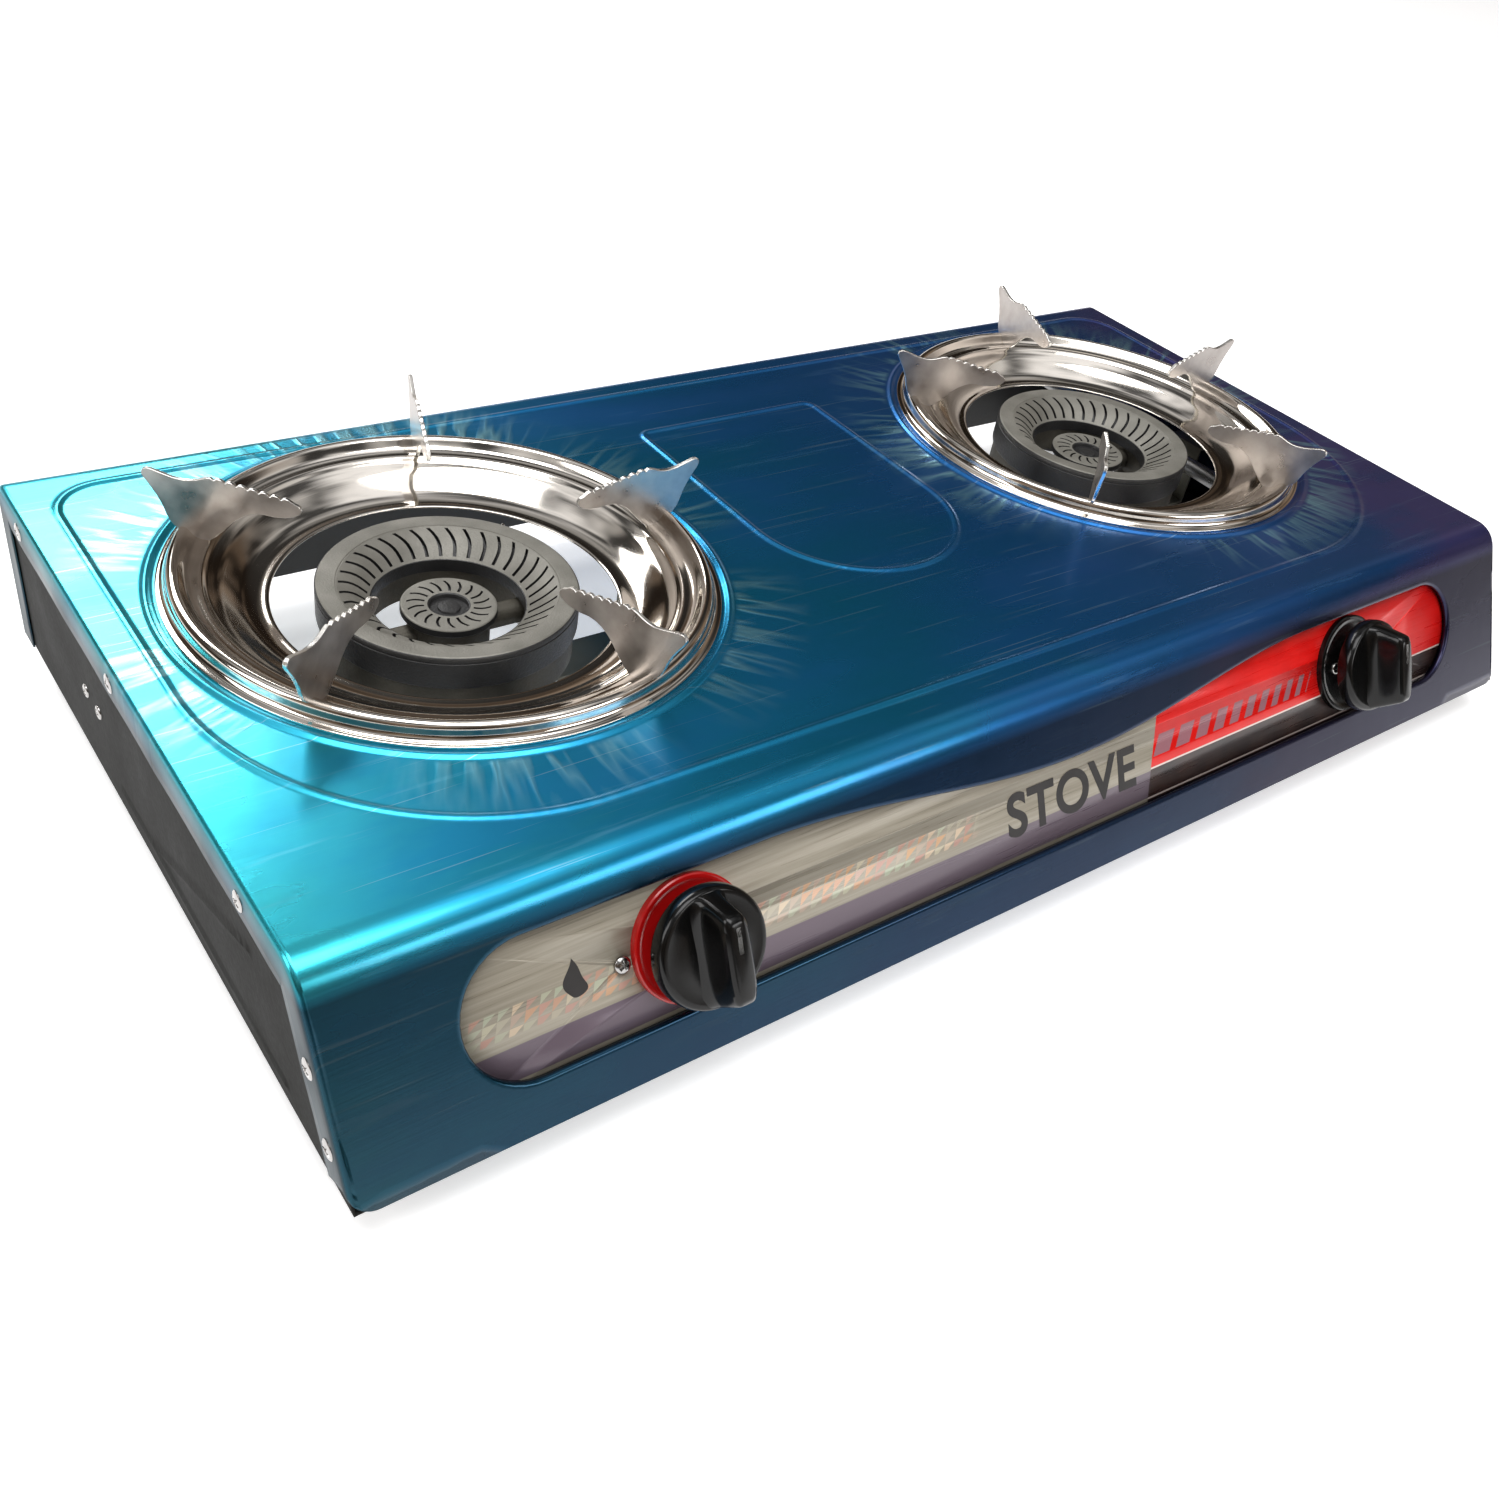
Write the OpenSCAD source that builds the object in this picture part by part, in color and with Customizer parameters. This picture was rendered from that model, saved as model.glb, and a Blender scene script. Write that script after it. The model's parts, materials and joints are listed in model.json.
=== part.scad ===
// Two-burner table-top camping stove. Millimetres, +Z up, +X to the right, knobs towards -Y.
// The origin is the centre of the underside of the whole stove's box, on the surface it stands on.

/* [Body] */
// Width of the body
body_w = 700; // [680:5:740]
// Depth of the flat top, from the back edge to the start of the sloping front
top_depth = 321; // [315:1:340]
// Height of the body without its feet
body_h = 79; // [76:1:90]
// How far the foot of the sloping front stands ahead of the top
front_lean = 41; // [36:1:46]
// Thickness of the sheet steel
sheet = 1; // [0.8:0.1:1.2]
// Radius of the bend between the top and the back
back_bend = 8; // [6:1:12]
// Radius of the bend between the top and the front
front_bend = 16; // [12:1:20]
// Width of the flange folded down round the side and back openings
flange_w = 16; // [12:1:18]
// Height of the feet below the body
foot_h = 18; // [12:1:24]
// Radius of a foot
foot_r = 12; // [10:1:14]

/* [Front window] */
// Width of the rounded window in the front
window_w = 602; // [580:2:610]
// Distance from the front's bottom edge up to the window
window_low = 19; // [17:1:21]
// Distance from the front's bottom edge up to the top of the window's ends
window_high = 72; // [70:1:73]
// How far the window's top edge sags in the middle
window_sag = 16.5; // [10:0.5:20]
// Width of the sagging stretch
sag_w = 350; // [300:10:400]

/* [Burners] */
// Distance of each burner's axis from the middle of the stove
burner_x = 206; // [204:1:210]
// Distance of the burners' axes behind the middle of the flat top
burner_y = 18; // [15:1:19]
// Radius of the hole in the top under each drip pan
pan_cutout_r = 108; // [106:1:109]
// Outer radius of the ring cap
cap_r = 56; // [54:0.5:56.5]
// Inner radius of the ring cap
cap_hole_r = 33; // [31:0.5:34]
// Number of flame slots in the ring cap
cap_slots = 36; // [24:2:40]
// Radius of the small centre cap
centre_cap_r = 21; // [19:0.5:22]
// Number of flame slots in the centre cap
centre_slots = 18; // [12:2:20]

/* [Drip pans and pot supports] */
// Radius of the drip pan's hem
pan_r = 117.5; // [116:0.5:118]
// Radius of the drip pan's crest
crest_r = 110.5; // [110:0.5:112]
// Height of the crest above the top
crest_h = 8; // [6:0.5:10]
// Radius of the hole in the middle of the pan
pan_hole_r = 74; // [70:0.5:75]
// Thickness of a pot support
fin_t = 2; // [1.5:0.1:2.4]
// Pot supports round each pan
fin_count = 5; // [3:1:6]

/* [Knobs] */
// Distance of each knob's axis from the middle of the stove
knob_x = 208; // [200:1:212]
// Distance of the knobs' axes up the sloping front
knob_up = 46; // [44:1:46]
// Radius of the knob's skirt
knob_r = 23.5; // [21:0.5:24]
// Height of the knob's grip above the front
knob_h = 31; // [28:1:34]
// How far a knob is pushed in before it turns
knob_push = 3; // [2:0.5:3]

/* [Hidden] */
$fn = 96;

half_w = body_w / 2;
back_y = top_depth / 2;
front_top_y = -top_depth / 2;
lean = atan(front_lean / body_h);
front_foot_y = front_top_y - front_lean;
bend_y = front_top_y + front_bend * tan((90 - lean) / 2);
bend_z = body_h - front_bend;
side_gap = 0.2;
eps = 0.01;

// The top shell's stamped lines
line_w = 4;
line_h = 0.8;
bead_r = 121;
bead_w = 4.6;
bead_h = 1.4;
contour_x = 337;
contour_back = 145;
contour_front = -137;
contour_back_r = 25;
contour_front_r = 120;
shield_x = 58;
shield_top = 103;
shield_low = -60;
shield_corner_r = 8;

// The window's rolled lip and the label plate behind it
lip = 3.5;
lip_t = 1;
label_z = -lip;
label_t = 1;
label_w = window_w + 20;
label_low = 11;
label_high = 78;
corner_r = 10;

// Side and back panels
panel_x = half_w - sheet;
panel_inset = sheet + side_gap;
panel_lip_w = 32;
crease_t = 0.8;
vent_pitch = 13;
vent_w = 5;
rivet_r = 4;
rivet_h = 0.9;

// Feet
foot_x = half_w - 18;
foot_front_y = -172;
foot_back_y = 142;

// Burner heights above the body's bottom edge
tube_z = 26;
trough_low = 46;
trough_top = 60;
cap_top = body_h - 3.5;
cone_drop = 9.5;
cap_rim_r = 47.5;
centre_top = body_h - 14.5;
ring_tube_x = -14;
centre_tube_x = 14;
tube_r = 8.5;
tube_bore_r = 6.5;
riser_y = -42.5;
riser_bore_r = 5;
arm_x = 15;
flange_r = 12.5;
flange_t = 3;
mouth_y = -116;
bracket_w = 24;
bracket_half = 98;
bracket_z = 15;
bracket_t = 1.5;
leg_x = 42;
leg_r = 5;

// Valve, along the knob's axis: zero is the outer face of the sloping front
valve_front = label_z - label_t;
flange_back = valve_front - 3.5;
barrel_r = 12;
barrel_end = -38;
gland_r = 4;
run_gap = 0.05;
plug_r = 7;
plug_front = -25;
plug_back = -36;
key_w = 5;
key_gap = 0.1;
collar_r = 5.5;
collar_t = 2;
gland_inner = -10;
stem_r = 3.5;
stem_top = 20;
stem_flat = 1;
bezel_r = 25;
bezel_top = -0.5;
bezel_plate = -1.5;
knob_low = bezel_top + knob_push + 4;
skirt_top = knob_low + 8.5;
block_y0 = -150;
block_y1 = -136;
injector_r = 5;
injector_y = mouth_y + 2;
rail_y = -150;
rail_z = 46;
rail_r = 5;
elbow_w = 14;
inlet_x = 290;
inlet_r = 4.75;
inlet_len = 30;
inlet_land = 8;
rail_left_x = -knob_x - 22;
insulator_r = 3;
electrode_angle = 40;
electrode_r = 62;
igniter_r = 5.5;
igniter_x = barrel_r + igniter_r + 0.1;
igniter_front = -11;
igniter_back = -29;
valve_screw_x = 29;
bezel_screw_x = 12;
screw_hole_r = 1.8;
pan_turn = 5;
mouth_hole_r = 4;
window_r = 2.2;
window_ring_r = 8;
bell_r = 10.5;
bell_len = 8;
tab_low = 49;
tab_t = 3;

// The whole stove's box, front to back, fixes where the origin lies
grip_r = 16.5;
grip_w = 13;
knob_axis_y = front_foot_y + knob_up * sin(lean);
box_front = knob_axis_y - knob_h * cos(lean) - grip_r * sin(lean);
box_back = back_y + inlet_len;
shift_y = -(box_front + box_back) / 2;

function arc(cx, cy, r, a0, a1, n) =
    [for (i = [0:n]) [cx + r * cos(a0 + (a1 - a0) * i / n), cy + r * sin(a0 + (a1 - a0) * i / n)]];

// Where the sloping front, moved inwards by inset, crosses the height z
function front_y(inset, z) = bend_y - (front_bend - inset - (z - bend_z) * sin(lean)) / cos(lean);

// Outline of the body seen from the side, as [y, z], moved inwards by inset
function side_outline(inset, low) = concat(
    [[back_y - inset, low]],
    arc(back_y - back_bend, body_h - back_bend, back_bend - inset, 0, 90, 8),
    arc(bend_y, bend_z, front_bend - inset, 90, 180 - lean, 10),
    [[front_y(inset, low), low]]);

// The same outline with square corners, for an inset wider than the bends
function side_opening(inset) = [
    [back_y - inset, -1], [back_y - inset, body_h - inset],
    [front_y(inset, body_h - inset), body_h - inset], [front_y(inset, -1), -1]];

function sag_at(x) = abs(x) < sag_w / 2 ? window_sag * (1 + cos(360 * x / sag_w)) / 2 : 0;

// Outline of the front window, grown outwards by grow
function window_outline(grow) =
    let (r = (window_high - window_low) / 2, cx = window_w / 2 - r, cy = window_low + r, n = 24)
    concat(
        arc(cx, cy, r + grow, -90, 90, 16),
        [for (i = [1:n - 1]) let (x = sag_w / 2 - sag_w * i / n) [x, window_high + grow - sag_at(x)]],
        arc(-cx, cy, r + grow, 90, 270, 16));

// Outline of a stamped line on the top, moved inwards by inset
function contour(inset) = concat(
    arc(contour_x - contour_back_r, contour_back - contour_back_r, contour_back_r - inset, 0, 90, 8),
    arc(-contour_x + contour_back_r, contour_back - contour_back_r, contour_back_r - inset, 90, 180, 8),
    arc(-contour_x + contour_front_r, contour_front + contour_front_r, contour_front_r - inset,
        180, 270, 16),
    arc(contour_x - contour_front_r, contour_front + contour_front_r, contour_front_r - inset,
        270, 360, 16));

function shield(inset) = concat(
    arc(shield_x - shield_corner_r, shield_top - shield_corner_r, shield_corner_r - inset, 0, 90, 6),
    arc(-shield_x + shield_corner_r, shield_top - shield_corner_r, shield_corner_r - inset, 90, 180, 6),
    arc(0, shield_low + shield_x, shield_x - inset, 180, 360, 24));

// Outline of a pot support, as [distance from the pan's axis, height above the top]
tooth_count = 6;
tooth_h = 1.4;
tooth_run = 29;
tooth_fall = 6;
function fin_outline() = concat(
    [[62.5, 20.5], [68, 18.2], [77, 18.6], [84, 17], [89.5, 13], [94, 8], [97, 5], [101, 2], [112, 2]],
    [[112.5, 7], [115.5, 10], [118, 17.5], [122, 25.5], [125, 30.5], [124.6, 32.6], [123, 33.6]],
    [[117, 32], [109, 30.2], [103, 31], [97.5, 32.6]],
    [for (i = [0:tooth_count * 2]) let (t = i / (tooth_count * 2))
        [95 - tooth_run * t, 32.4 - tooth_fall * t - (i % 2 == 0 ? tooth_h : 0)]],
    [[63, 24.5]]);

module placed() {
    translate([0, shift_y, foot_h]) children();
}

// Local X stays across, local Y runs up the sloping front, local Z points out of it
module on_front() {
    translate([0, front_foot_y, 0]) rotate([90 - lean, 0, 0]) children();
}

module at_knob(side) {
    placed() on_front() translate([side * knob_x, knob_up, 0]) children();
}

module at_burner(side) {
    placed() translate([side * burner_x, burner_y, 0]) children();
}

// A solid across the body: an outline in [y, z], from x0 to x1
module across(points, x0, x1) {
    translate([x0, 0, 0]) rotate([90, 0, 90]) linear_extrude(x1 - x0) polygon(points);
}

module rod(r, z0, z1) {
    translate([0, 0, z0]) cylinder(r = r, h = z1 - z0);
}

module rod_y(r, y0, y1) {
    translate([0, y0, 0]) rotate([-90, 0, 0]) cylinder(r = r, h = y1 - y0);
}

module ring(r_out, r_in, z0, z1) {
    difference() {
        rod(r_out, z0, z1);
        rod(r_in, z0 - 1, z1 + 1);
    }
}

// Screw along Z, its head's underside at zero and its shank below
module pan_screw(head_r, head_h, shank_r, shank_len) {
    difference() {
        union() {
            rotate_extrude() polygon(concat([[0, 0], [head_r, 0], [head_r, head_h * 0.4]],
                [[head_r * 0.8, head_h * 0.85], [head_r * 0.45, head_h], [0, head_h]]));
            rod(shank_r, -shank_len, eps);
        }
        for (a = [0, 90]) rotate(a)
            translate([-head_r * 0.6, -head_r * 0.1, head_h * 0.5])
                cube([head_r * 1.2, head_r * 0.2, head_h]);
    }
}

module stamped(outer, inner) {
    translate([0, 0, body_h - eps]) linear_extrude(line_h) difference() {
        polygon(outer);
        polygon(inner);
    }
}

module corner_cut(side) {
    translate([side * (half_w - corner_r), corner_r, 0]) difference() {
        translate([side > 0 ? 0 : -corner_r - 2, -corner_r - 2, -24])
            cube([corner_r + 2, corner_r + 2, 30]);
        rod(corner_r, -25, 7);
    }
}

module top_shell() {
    color("deepskyblue") placed() {
        difference() {
            union() {
                difference() {
                    across(side_outline(0, 0), -half_w, half_w);
                    across(side_outline(sheet, -1), -half_w + sheet, half_w - sheet);
                    across(side_opening(flange_w), -half_w - 1, half_w + 1);
                    translate([-half_w + flange_w, back_y - 5, -1])
                        cube([body_w - 2 * flange_w, 10, body_h - flange_w + 1]);
                }
                on_front() translate([0, 0, -lip]) linear_extrude(lip - 0.4) polygon(window_outline(lip_t));
                translate([-half_w + 40, front_y(0.9, 0), 0]) cube([body_w - 80, 9, sheet]);
                stamped(contour(0), contour(line_w));
                stamped(shield(0), shield(line_w));
                for (side = [-1, 1]) translate([side * burner_x, burner_y, body_h - eps])
                    rotate_extrude() translate([bead_r, 0])
                        polygon(concat([[-bead_w / 2, 0], [bead_w / 2, 0]],
                            [[bead_w / 4, bead_h], [-bead_w / 4, bead_h]]));
            }
            on_front() translate([0, 0, -lip - 1]) linear_extrude(lip + 5) polygon(window_outline(0));
            for (side = [-1, 1]) translate([side * burner_x, burner_y, 0])
                rod(pan_cutout_r, body_h - 5, body_h + 5);
            on_front() for (side = [-1, 1]) corner_cut(side);
        }
    }
}

// A stamped line on a side panel, between two points given as [y, z]
module crease(from, to) {
    run = to - from;
    translate([panel_x - eps, from[0], from[1]]) rotate([90, 0, 90]) rotate(atan2(run[1], run[0]))
        linear_extrude(crease_t) polygon([[0, -1], [norm(run), -1], [norm(run) - 2, 1], [2, 1]]);
}

// One side panel lies inside the shell's flange and folds in along the bottom to carry the feet
module side_panel(side) {
    color("dimgray") placed() mirror([side > 0 ? 0 : 1, 0, 0]) {
        difference() {
            union() {
                across(side_outline(panel_inset, 0), panel_x - sheet, panel_x);
                translate([panel_x - panel_lip_w, front_y(panel_inset, sheet) + 2, 0])
                    cube([panel_lip_w - sheet / 2, back_y - panel_inset - front_y(panel_inset, sheet) - 4,
                        sheet]);
                crease([-122, 50], [-10, 9]);
                crease([20, 10], [-147, 8]);
            }
            for (y = [foot_front_y, foot_back_y]) translate([foot_x, y, 0]) rod(2.2, -1, 3);
        }
    }
}

module back_panel() {
    color("dimgray") placed() difference() {
        translate([-half_w + 3, back_y - sheet * 2, 0]) cube([body_w - 6, sheet, body_h - 9]);
        for (i = [-7:7]) translate([i * vent_pitch - vent_w / 2, 0, 14]) cube([vent_w, back_y + 5, 24]);
        translate([inlet_x, 0, rail_z]) rod_y(8.2, 0, back_y + 5);
    }
}

module label_plate() {
    color("tan") placed() on_front() difference() {
        translate([-label_w / 2, label_low, label_z - label_t])
            cube([label_w, label_high - label_low, label_t]);
        for (side = [-1, 1]) translate([side * knob_x, knob_up, 0]) {
            rod(8, -10, 5);
            valve_screw_holes(side);
        }
    }
}

rivet_spots = [[129, 70], [12, 70], [-117, 70]];
module panel_rivets() {
    color("silver") placed() for (side = [-1, 1]) mirror([side > 0 ? 0 : 1, 0, 0]) {
        for (p = rivet_spots) translate([half_w, p[0], p[1]]) rotate([0, 90, 0]) rivet();
        for (z = [43, 17]) translate([half_w, front_y(8, z), z]) rotate([0, 90, 0]) rivet();
    }
}

module rivet() {
    rotate_extrude() polygon([[0, 0], [rivet_r, 0], [rivet_r * 0.8, rivet_h * 0.7],
        [rivet_r * 0.4, rivet_h], [0, rivet_h]]);
}

module panel_screws() {
    color("silver") placed() for (side = [-1, 1]) mirror([side > 0 ? 0 : 1, 0, 0])
        for (y = [40, 56]) translate([panel_x, y, 36]) rotate([0, 90, 0]) {
            rotate_extrude() polygon([[0, 0], [3, 0], [2.4, 0.7], [1.2, 0.95], [0, 0.95]]);
        }
}

module foot(x, y) {
    color("black") placed() translate([x, y, 0]) difference() {
        rotate_extrude() polygon([[0, -foot_h], [foot_r - 3, -foot_h], [foot_r - 2, -foot_h + 1],
            [foot_r, 0], [0, 0]]);
        rod(5, -foot_h - 1, -foot_h + 8);
        rod(2.2, -foot_h, 1);
    }
}

module foot_screws() {
    color("silver") placed() for (x = [-foot_x, foot_x]) for (y = [foot_front_y, foot_back_y])
        translate([x, y, -foot_h + 8]) mirror([0, 0, 1]) pan_screw(4, 2.5, 2, foot_h - 8 + 4);
}

function pan_outline() = [
    [pan_r, 0], [pan_r, 1], [pan_r - 1.5, 1.2], [crest_r + 2, crest_h - 1], [crest_r, crest_h],
    [crest_r - 2, crest_h - 1], [105, 3.5], [100, 2.8], [98, 1], [94, -1], [88, -5.5], [80, -9],
    [pan_hole_r + 1, -9.6], [pan_hole_r, -9], [pan_hole_r, -10.4], [80, -10.2], [88.6, -6.6],
    [94.6, -2.2], [98.8, -0.2], [100.4, 1.6], [105.5, 2.4], [crest_r - 1.3, crest_h - 2],
    [crest_r, crest_h - 1.2], [crest_r + 1.3, crest_h - 2], [pan_r - 2.4, 0]];

// A pan drops in at any turn, and the right one sits turned a little
module at_pan(side) {
    at_burner(side) translate([0, 0, body_h]) rotate(side > 0 ? pan_turn : 0) children();
}

module drip_pan(side) {
    color("rosybrown") at_pan(side) difference() {
        rotate_extrude() polygon(pan_outline());
        for (i = [0:fin_count - 1]) rotate(i * 360 / fin_count)
            translate([99.5, -fin_t / 2 - 0.1, -3]) cube([15, fin_t + 0.2, 14]);
    }
}

module pot_supports(side) {
    color("lightgray") at_pan(side)
        for (i = [0:fin_count - 1]) rotate(i * 360 / fin_count)
            translate([0, fin_t / 2, 0]) rotate([90, 0, 0]) linear_extrude(fin_t) polygon(fin_outline());
}

module bridge_tube(side_x, y_end) {
    translate([side_x, 0, tube_z]) rod_y(tube_r, mouth_y - burner_y, y_end);
    translate([side_x, 0, tube_z])
        rod_y(flange_r, mouth_y - burner_y, mouth_y - burner_y + flange_t + bell_len + 2);
}

// The mouth of a mixing tube: a bell behind a plate with a hole for the injector and four air windows
module mouth_cut(side_x, y_end) {
    y0 = mouth_y - burner_y;
    translate([side_x, 0, tube_z]) {
        rod_y(tube_bore_r, y0 + flange_t, y_end);
        rod_y(bell_r, y0 + flange_t, y0 + flange_t + bell_len);
        rod_y(mouth_hole_r, y0 - 1, y0 + flange_t + 1);
        for (a = [45, 135, 225, 315]) rotate([0, a, 0]) translate([window_ring_r, 0, 0])
            rod_y(window_r, y0 - 1, y0 + flange_t + 1);
    }
}

module burner_body(side) {
    color("dimgray") at_burner(side) difference() {
        union() {
            ring(cap_r - 1.5, cap_hole_r + 2.5, trough_low, trough_top);
            rod(18, trough_low - 2, trough_top);
            for (a = [0, 180]) rotate(a) translate([arm_x, 0, trough_low + 6]) rotate([0, 90, 0])
                cylinder(r = 5.5, h = cap_hole_r + 5 - arm_x);
            bridge_tube(ring_tube_x, riser_y + 4);
            bridge_tube(centre_tube_x, 10);
            translate([ring_tube_x, riser_y, 0]) rod(tube_r, tube_z, trough_low + 2);
            translate([centre_tube_x * 0.4, 4, 0]) rod(tube_r, tube_z, trough_low + 2);
            for (dx = [-leg_x, leg_x]) translate([dx, 0, 0])
                rod(leg_r, bracket_z + bracket_t, trough_low + 2);
            rotate(electrode_angle) translate([cap_r - 3, -5, tab_low])
                cube([electrode_r - cap_r + 8, 10, tab_t]);
        }
        ring(cap_r - 5, cap_hole_r + 6, trough_low + 3, trough_top + 1);
        rod(14, trough_low + 3, trough_top + 1);
        mouth_cut(ring_tube_x, riser_y + 4);
        mouth_cut(centre_tube_x, 2);
        translate([ring_tube_x, riser_y, 0]) rod(riser_bore_r, tube_z, trough_low + 5);
        translate([centre_tube_x * 0.4, 4, 0]) rod(riser_bore_r, tube_z + 3, trough_low + 5);
        for (dx = [-leg_x, leg_x]) translate([dx, 0, 0]) rod(1.8, bracket_z, bracket_z + 12);
        rotate(electrode_angle) translate([electrode_r, 0, 0])
            rod(insulator_r + run_gap, tab_low - 1, tab_low + tab_t + 1);
    }
}

module ring_cap(side) {
    slot_len = cap_rim_r - cap_hole_r - 3;
    color("gray") at_burner(side) difference() {
        rotate_extrude() polygon([[cap_r, trough_top], [cap_r, cap_top - 0.8], [cap_r - 0.8, cap_top],
            [cap_rim_r, cap_top], [cap_hole_r, cap_top - cone_drop], [cap_hole_r, trough_top],
            [cap_hole_r + 4, trough_top], [cap_hole_r + 4, cap_top - cone_drop - 2.5],
            [cap_rim_r, cap_top - 3.5], [cap_r - 4.5, cap_top - 3.5], [cap_r - 4.5, trough_top]]);
        for (i = [0:cap_slots - 1]) rotate(i * 360 / cap_slots)
            translate([(cap_rim_r + cap_hole_r) / 2, 0, 0]) rotate(-14)
                translate([-slot_len / 2, -0.6, trough_top + 3]) cube([slot_len, 1.2, 20]);
    }
}

module centre_cap(side) {
    color("gray") at_burner(side) difference() {
        rotate_extrude() polygon([[18, trough_top], [centre_cap_r, trough_top + 1.5],
            [centre_cap_r, centre_top - 0.8], [centre_cap_r - 0.8, centre_top], [8.5, centre_top - 0.4],
            [8, centre_top - 2.4], [0, centre_top - 2.4], [0, centre_top - 4], [16, centre_top - 4],
            [16, trough_top]]);
        for (i = [0:centre_slots - 1]) rotate(i * 360 / centre_slots)
            translate([11, -0.5, trough_top + 1]) rotate(8) cube([6.5, 1, 10]);
    }
}

// A steel strip under the burner, bent up at both ends and folded out under the top
module burner_bracket(side) {
    lift = body_h - sheet - bracket_z;
    color("silver") at_burner(side) difference() {
        union() {
            translate([-bracket_half, -bracket_w / 2, bracket_z])
                cube([2 * bracket_half, bracket_w, bracket_t]);
            for (dir = [-1, 1]) mirror([dir > 0 ? 0 : 1, 0, 0]) {
                translate([bracket_half - bracket_t, -bracket_w / 2, bracket_z])
                    cube([bracket_t, bracket_w, 38]);
                translate([bracket_half - bracket_t, -bracket_w / 2, bracket_z + 38 - bracket_t])
                    cube([18, bracket_w, bracket_t]);
                translate([bracket_half + 15, -bracket_w / 2, bracket_z + 38 - bracket_t])
                    cube([bracket_t, bracket_w, lift - 38 + bracket_t]);
            }
        }
        for (dx = [-leg_x, leg_x]) translate([dx, 0, 0]) rod(2.2, bracket_z - 1, bracket_z + 3);
    }
}

module bracket_screws() {
    color("silver") for (side = [-1, 1]) at_burner(side) for (dx = [-leg_x, leg_x])
        translate([dx, 0, bracket_z]) mirror([0, 0, 1]) pan_screw(4, 2.5, 1.75, 9);
}

// Disc that turns on the injector's nose in front of a mixing tube and opens or shuts its air windows
module air_shutter(side, dx) {
    color("silver") placed() translate([side * burner_x + dx, mouth_y - 1.4, tube_z]) difference() {
        union() {
            rod_y(flange_r - 0.5, 0, 1.2);
            translate([-2, 0, -flange_r - 3]) cube([4, 1.2, 8]);
        }
        rod_y(injector_r - 1.5 + run_gap, -1, 3);
        for (a = [45, 135, 225, 315]) rotate([0, a, 0]) translate([window_ring_r, 0, 0])
            rod_y(window_r, -1, 3);
    }
}

module gas_injectors() {
    color("gold") placed() for (side = [-1, 1]) for (dx = [ring_tube_x, centre_tube_x])
        translate([side * burner_x + dx, 0, tube_z]) difference() {
            union() {
                translate([0, block_y1, 0]) rotate([-90, 30, 0])
                    cylinder(r = injector_r, h = mouth_y - 2 - block_y1, $fn = 6);
                rod_y(injector_r - 1.5, mouth_y - 3, injector_y);
            }
            rod_y(0.6, block_y1 - 1, injector_y + 1);
        }
}

module gas_valve(side) {
    color("darkgray") difference() {
        union() {
            at_knob(side) {
                mirror([side > 0 ? 0 : 1, 0, 0]) translate([-bezel_screw_x - 8, -10, flange_back])
                    cube([bezel_screw_x + valve_screw_x + 14, 20, valve_front - flange_back]);
                rod(barrel_r, barrel_end, flange_back + 1);
            }
            placed() translate([side * knob_x, 0, 0]) {
                translate([-22, block_y0, tube_z - 8]) cube([44, block_y1 - block_y0, 16]);
                translate([-10, rail_y - 9, tube_z]) cube([20, 18, rail_z - tube_z + 9]);
            }
        }
        at_knob(side) {
            rod(plug_r, barrel_end + 2, gland_inner);
            rod(gland_r, gland_inner - 1, 1);
            valve_screw_holes(side);
        }
        placed() translate([side * knob_x - 11, rail_y, rail_z]) rotate([0, 90, 0])
            cylinder(r = rail_r + run_gap, h = 22);
    }
}

module valve_plug(side) {
    color("gold") at_knob(side) difference() {
        rod(plug_r - run_gap, plug_back + 0.2, plug_front);
        translate([-key_w / 2 - key_gap, -key_w / 2 - key_gap, plug_back + 2]) cube([key_w + 2 * key_gap,
            key_w + 2 * key_gap, 20]);
    }
}

// Points round a coil, and a tube swept along any route
function coil(r, pitch, turns, steps) =
    [for (i = [0:turns * steps]) [r * cos(360 * i / steps), r * sin(360 * i / steps), pitch * i / steps]];
function unit(v) = v / norm(v);
function heading(path, i) = unit(path[min(i + 1, len(path) - 1)] - path[max(i - 1, 0)]);
function side_of(d) = unit(cross(d, abs(d[2]) > 0.9 ? [1, 0, 0] : [0, 0, 1]));
function ring_at(path, i, r, n) =
    let (d = heading(path, i), u = side_of(d), v = cross(d, u))
    [for (k = [0:n - 1]) path[i] + r * (cos(360 * k / n) * u + sin(360 * k / n) * v)];

module swept(path, r, n) {
    rings = len(path);
    last = (rings - 1) * n;
    polyhedron(
        points = [for (i = [0:rings - 1]) each ring_at(path, i, r, n)],
        faces = concat(
            [[for (k = [0:n - 1]) k]],
            [for (i = [0:rings - 2]) for (k = [0:n - 1])
                [i * n + k, (i + 1) * n + k, (i + 1) * n + (k + 1) % n, i * n + (k + 1) % n]],
            [[for (k = [0:n - 1]) last + n - 1 - k]]),
        convexity = 6);
}

module valve_spring(side) {
    color("silver") at_knob(side) translate([0, 0, plug_front + 0.6])
        swept(coil(5.4, 2, 4, 14), 0.5, 6);
}

// Square key in the plug, collar under the gland, round shank with a flat inside the knob
module valve_stem(side) {
    color("silver") at_knob(side) difference() {
        union() {
            translate([-key_w / 2, -key_w / 2, plug_back + 6.5]) cube([key_w, key_w, 18]);
            rod(collar_r, gland_inner - 0.1 - collar_t, gland_inner - 0.1);
            rod(stem_r, gland_inner - 2, stem_top);
            rod(gland_r - run_gap, gland_inner - 0.2, valve_front + 1);
        }
        translate([-10, stem_r - stem_flat, knob_low - 0.5]) cube([20, 5, 30]);
    }
}

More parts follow.
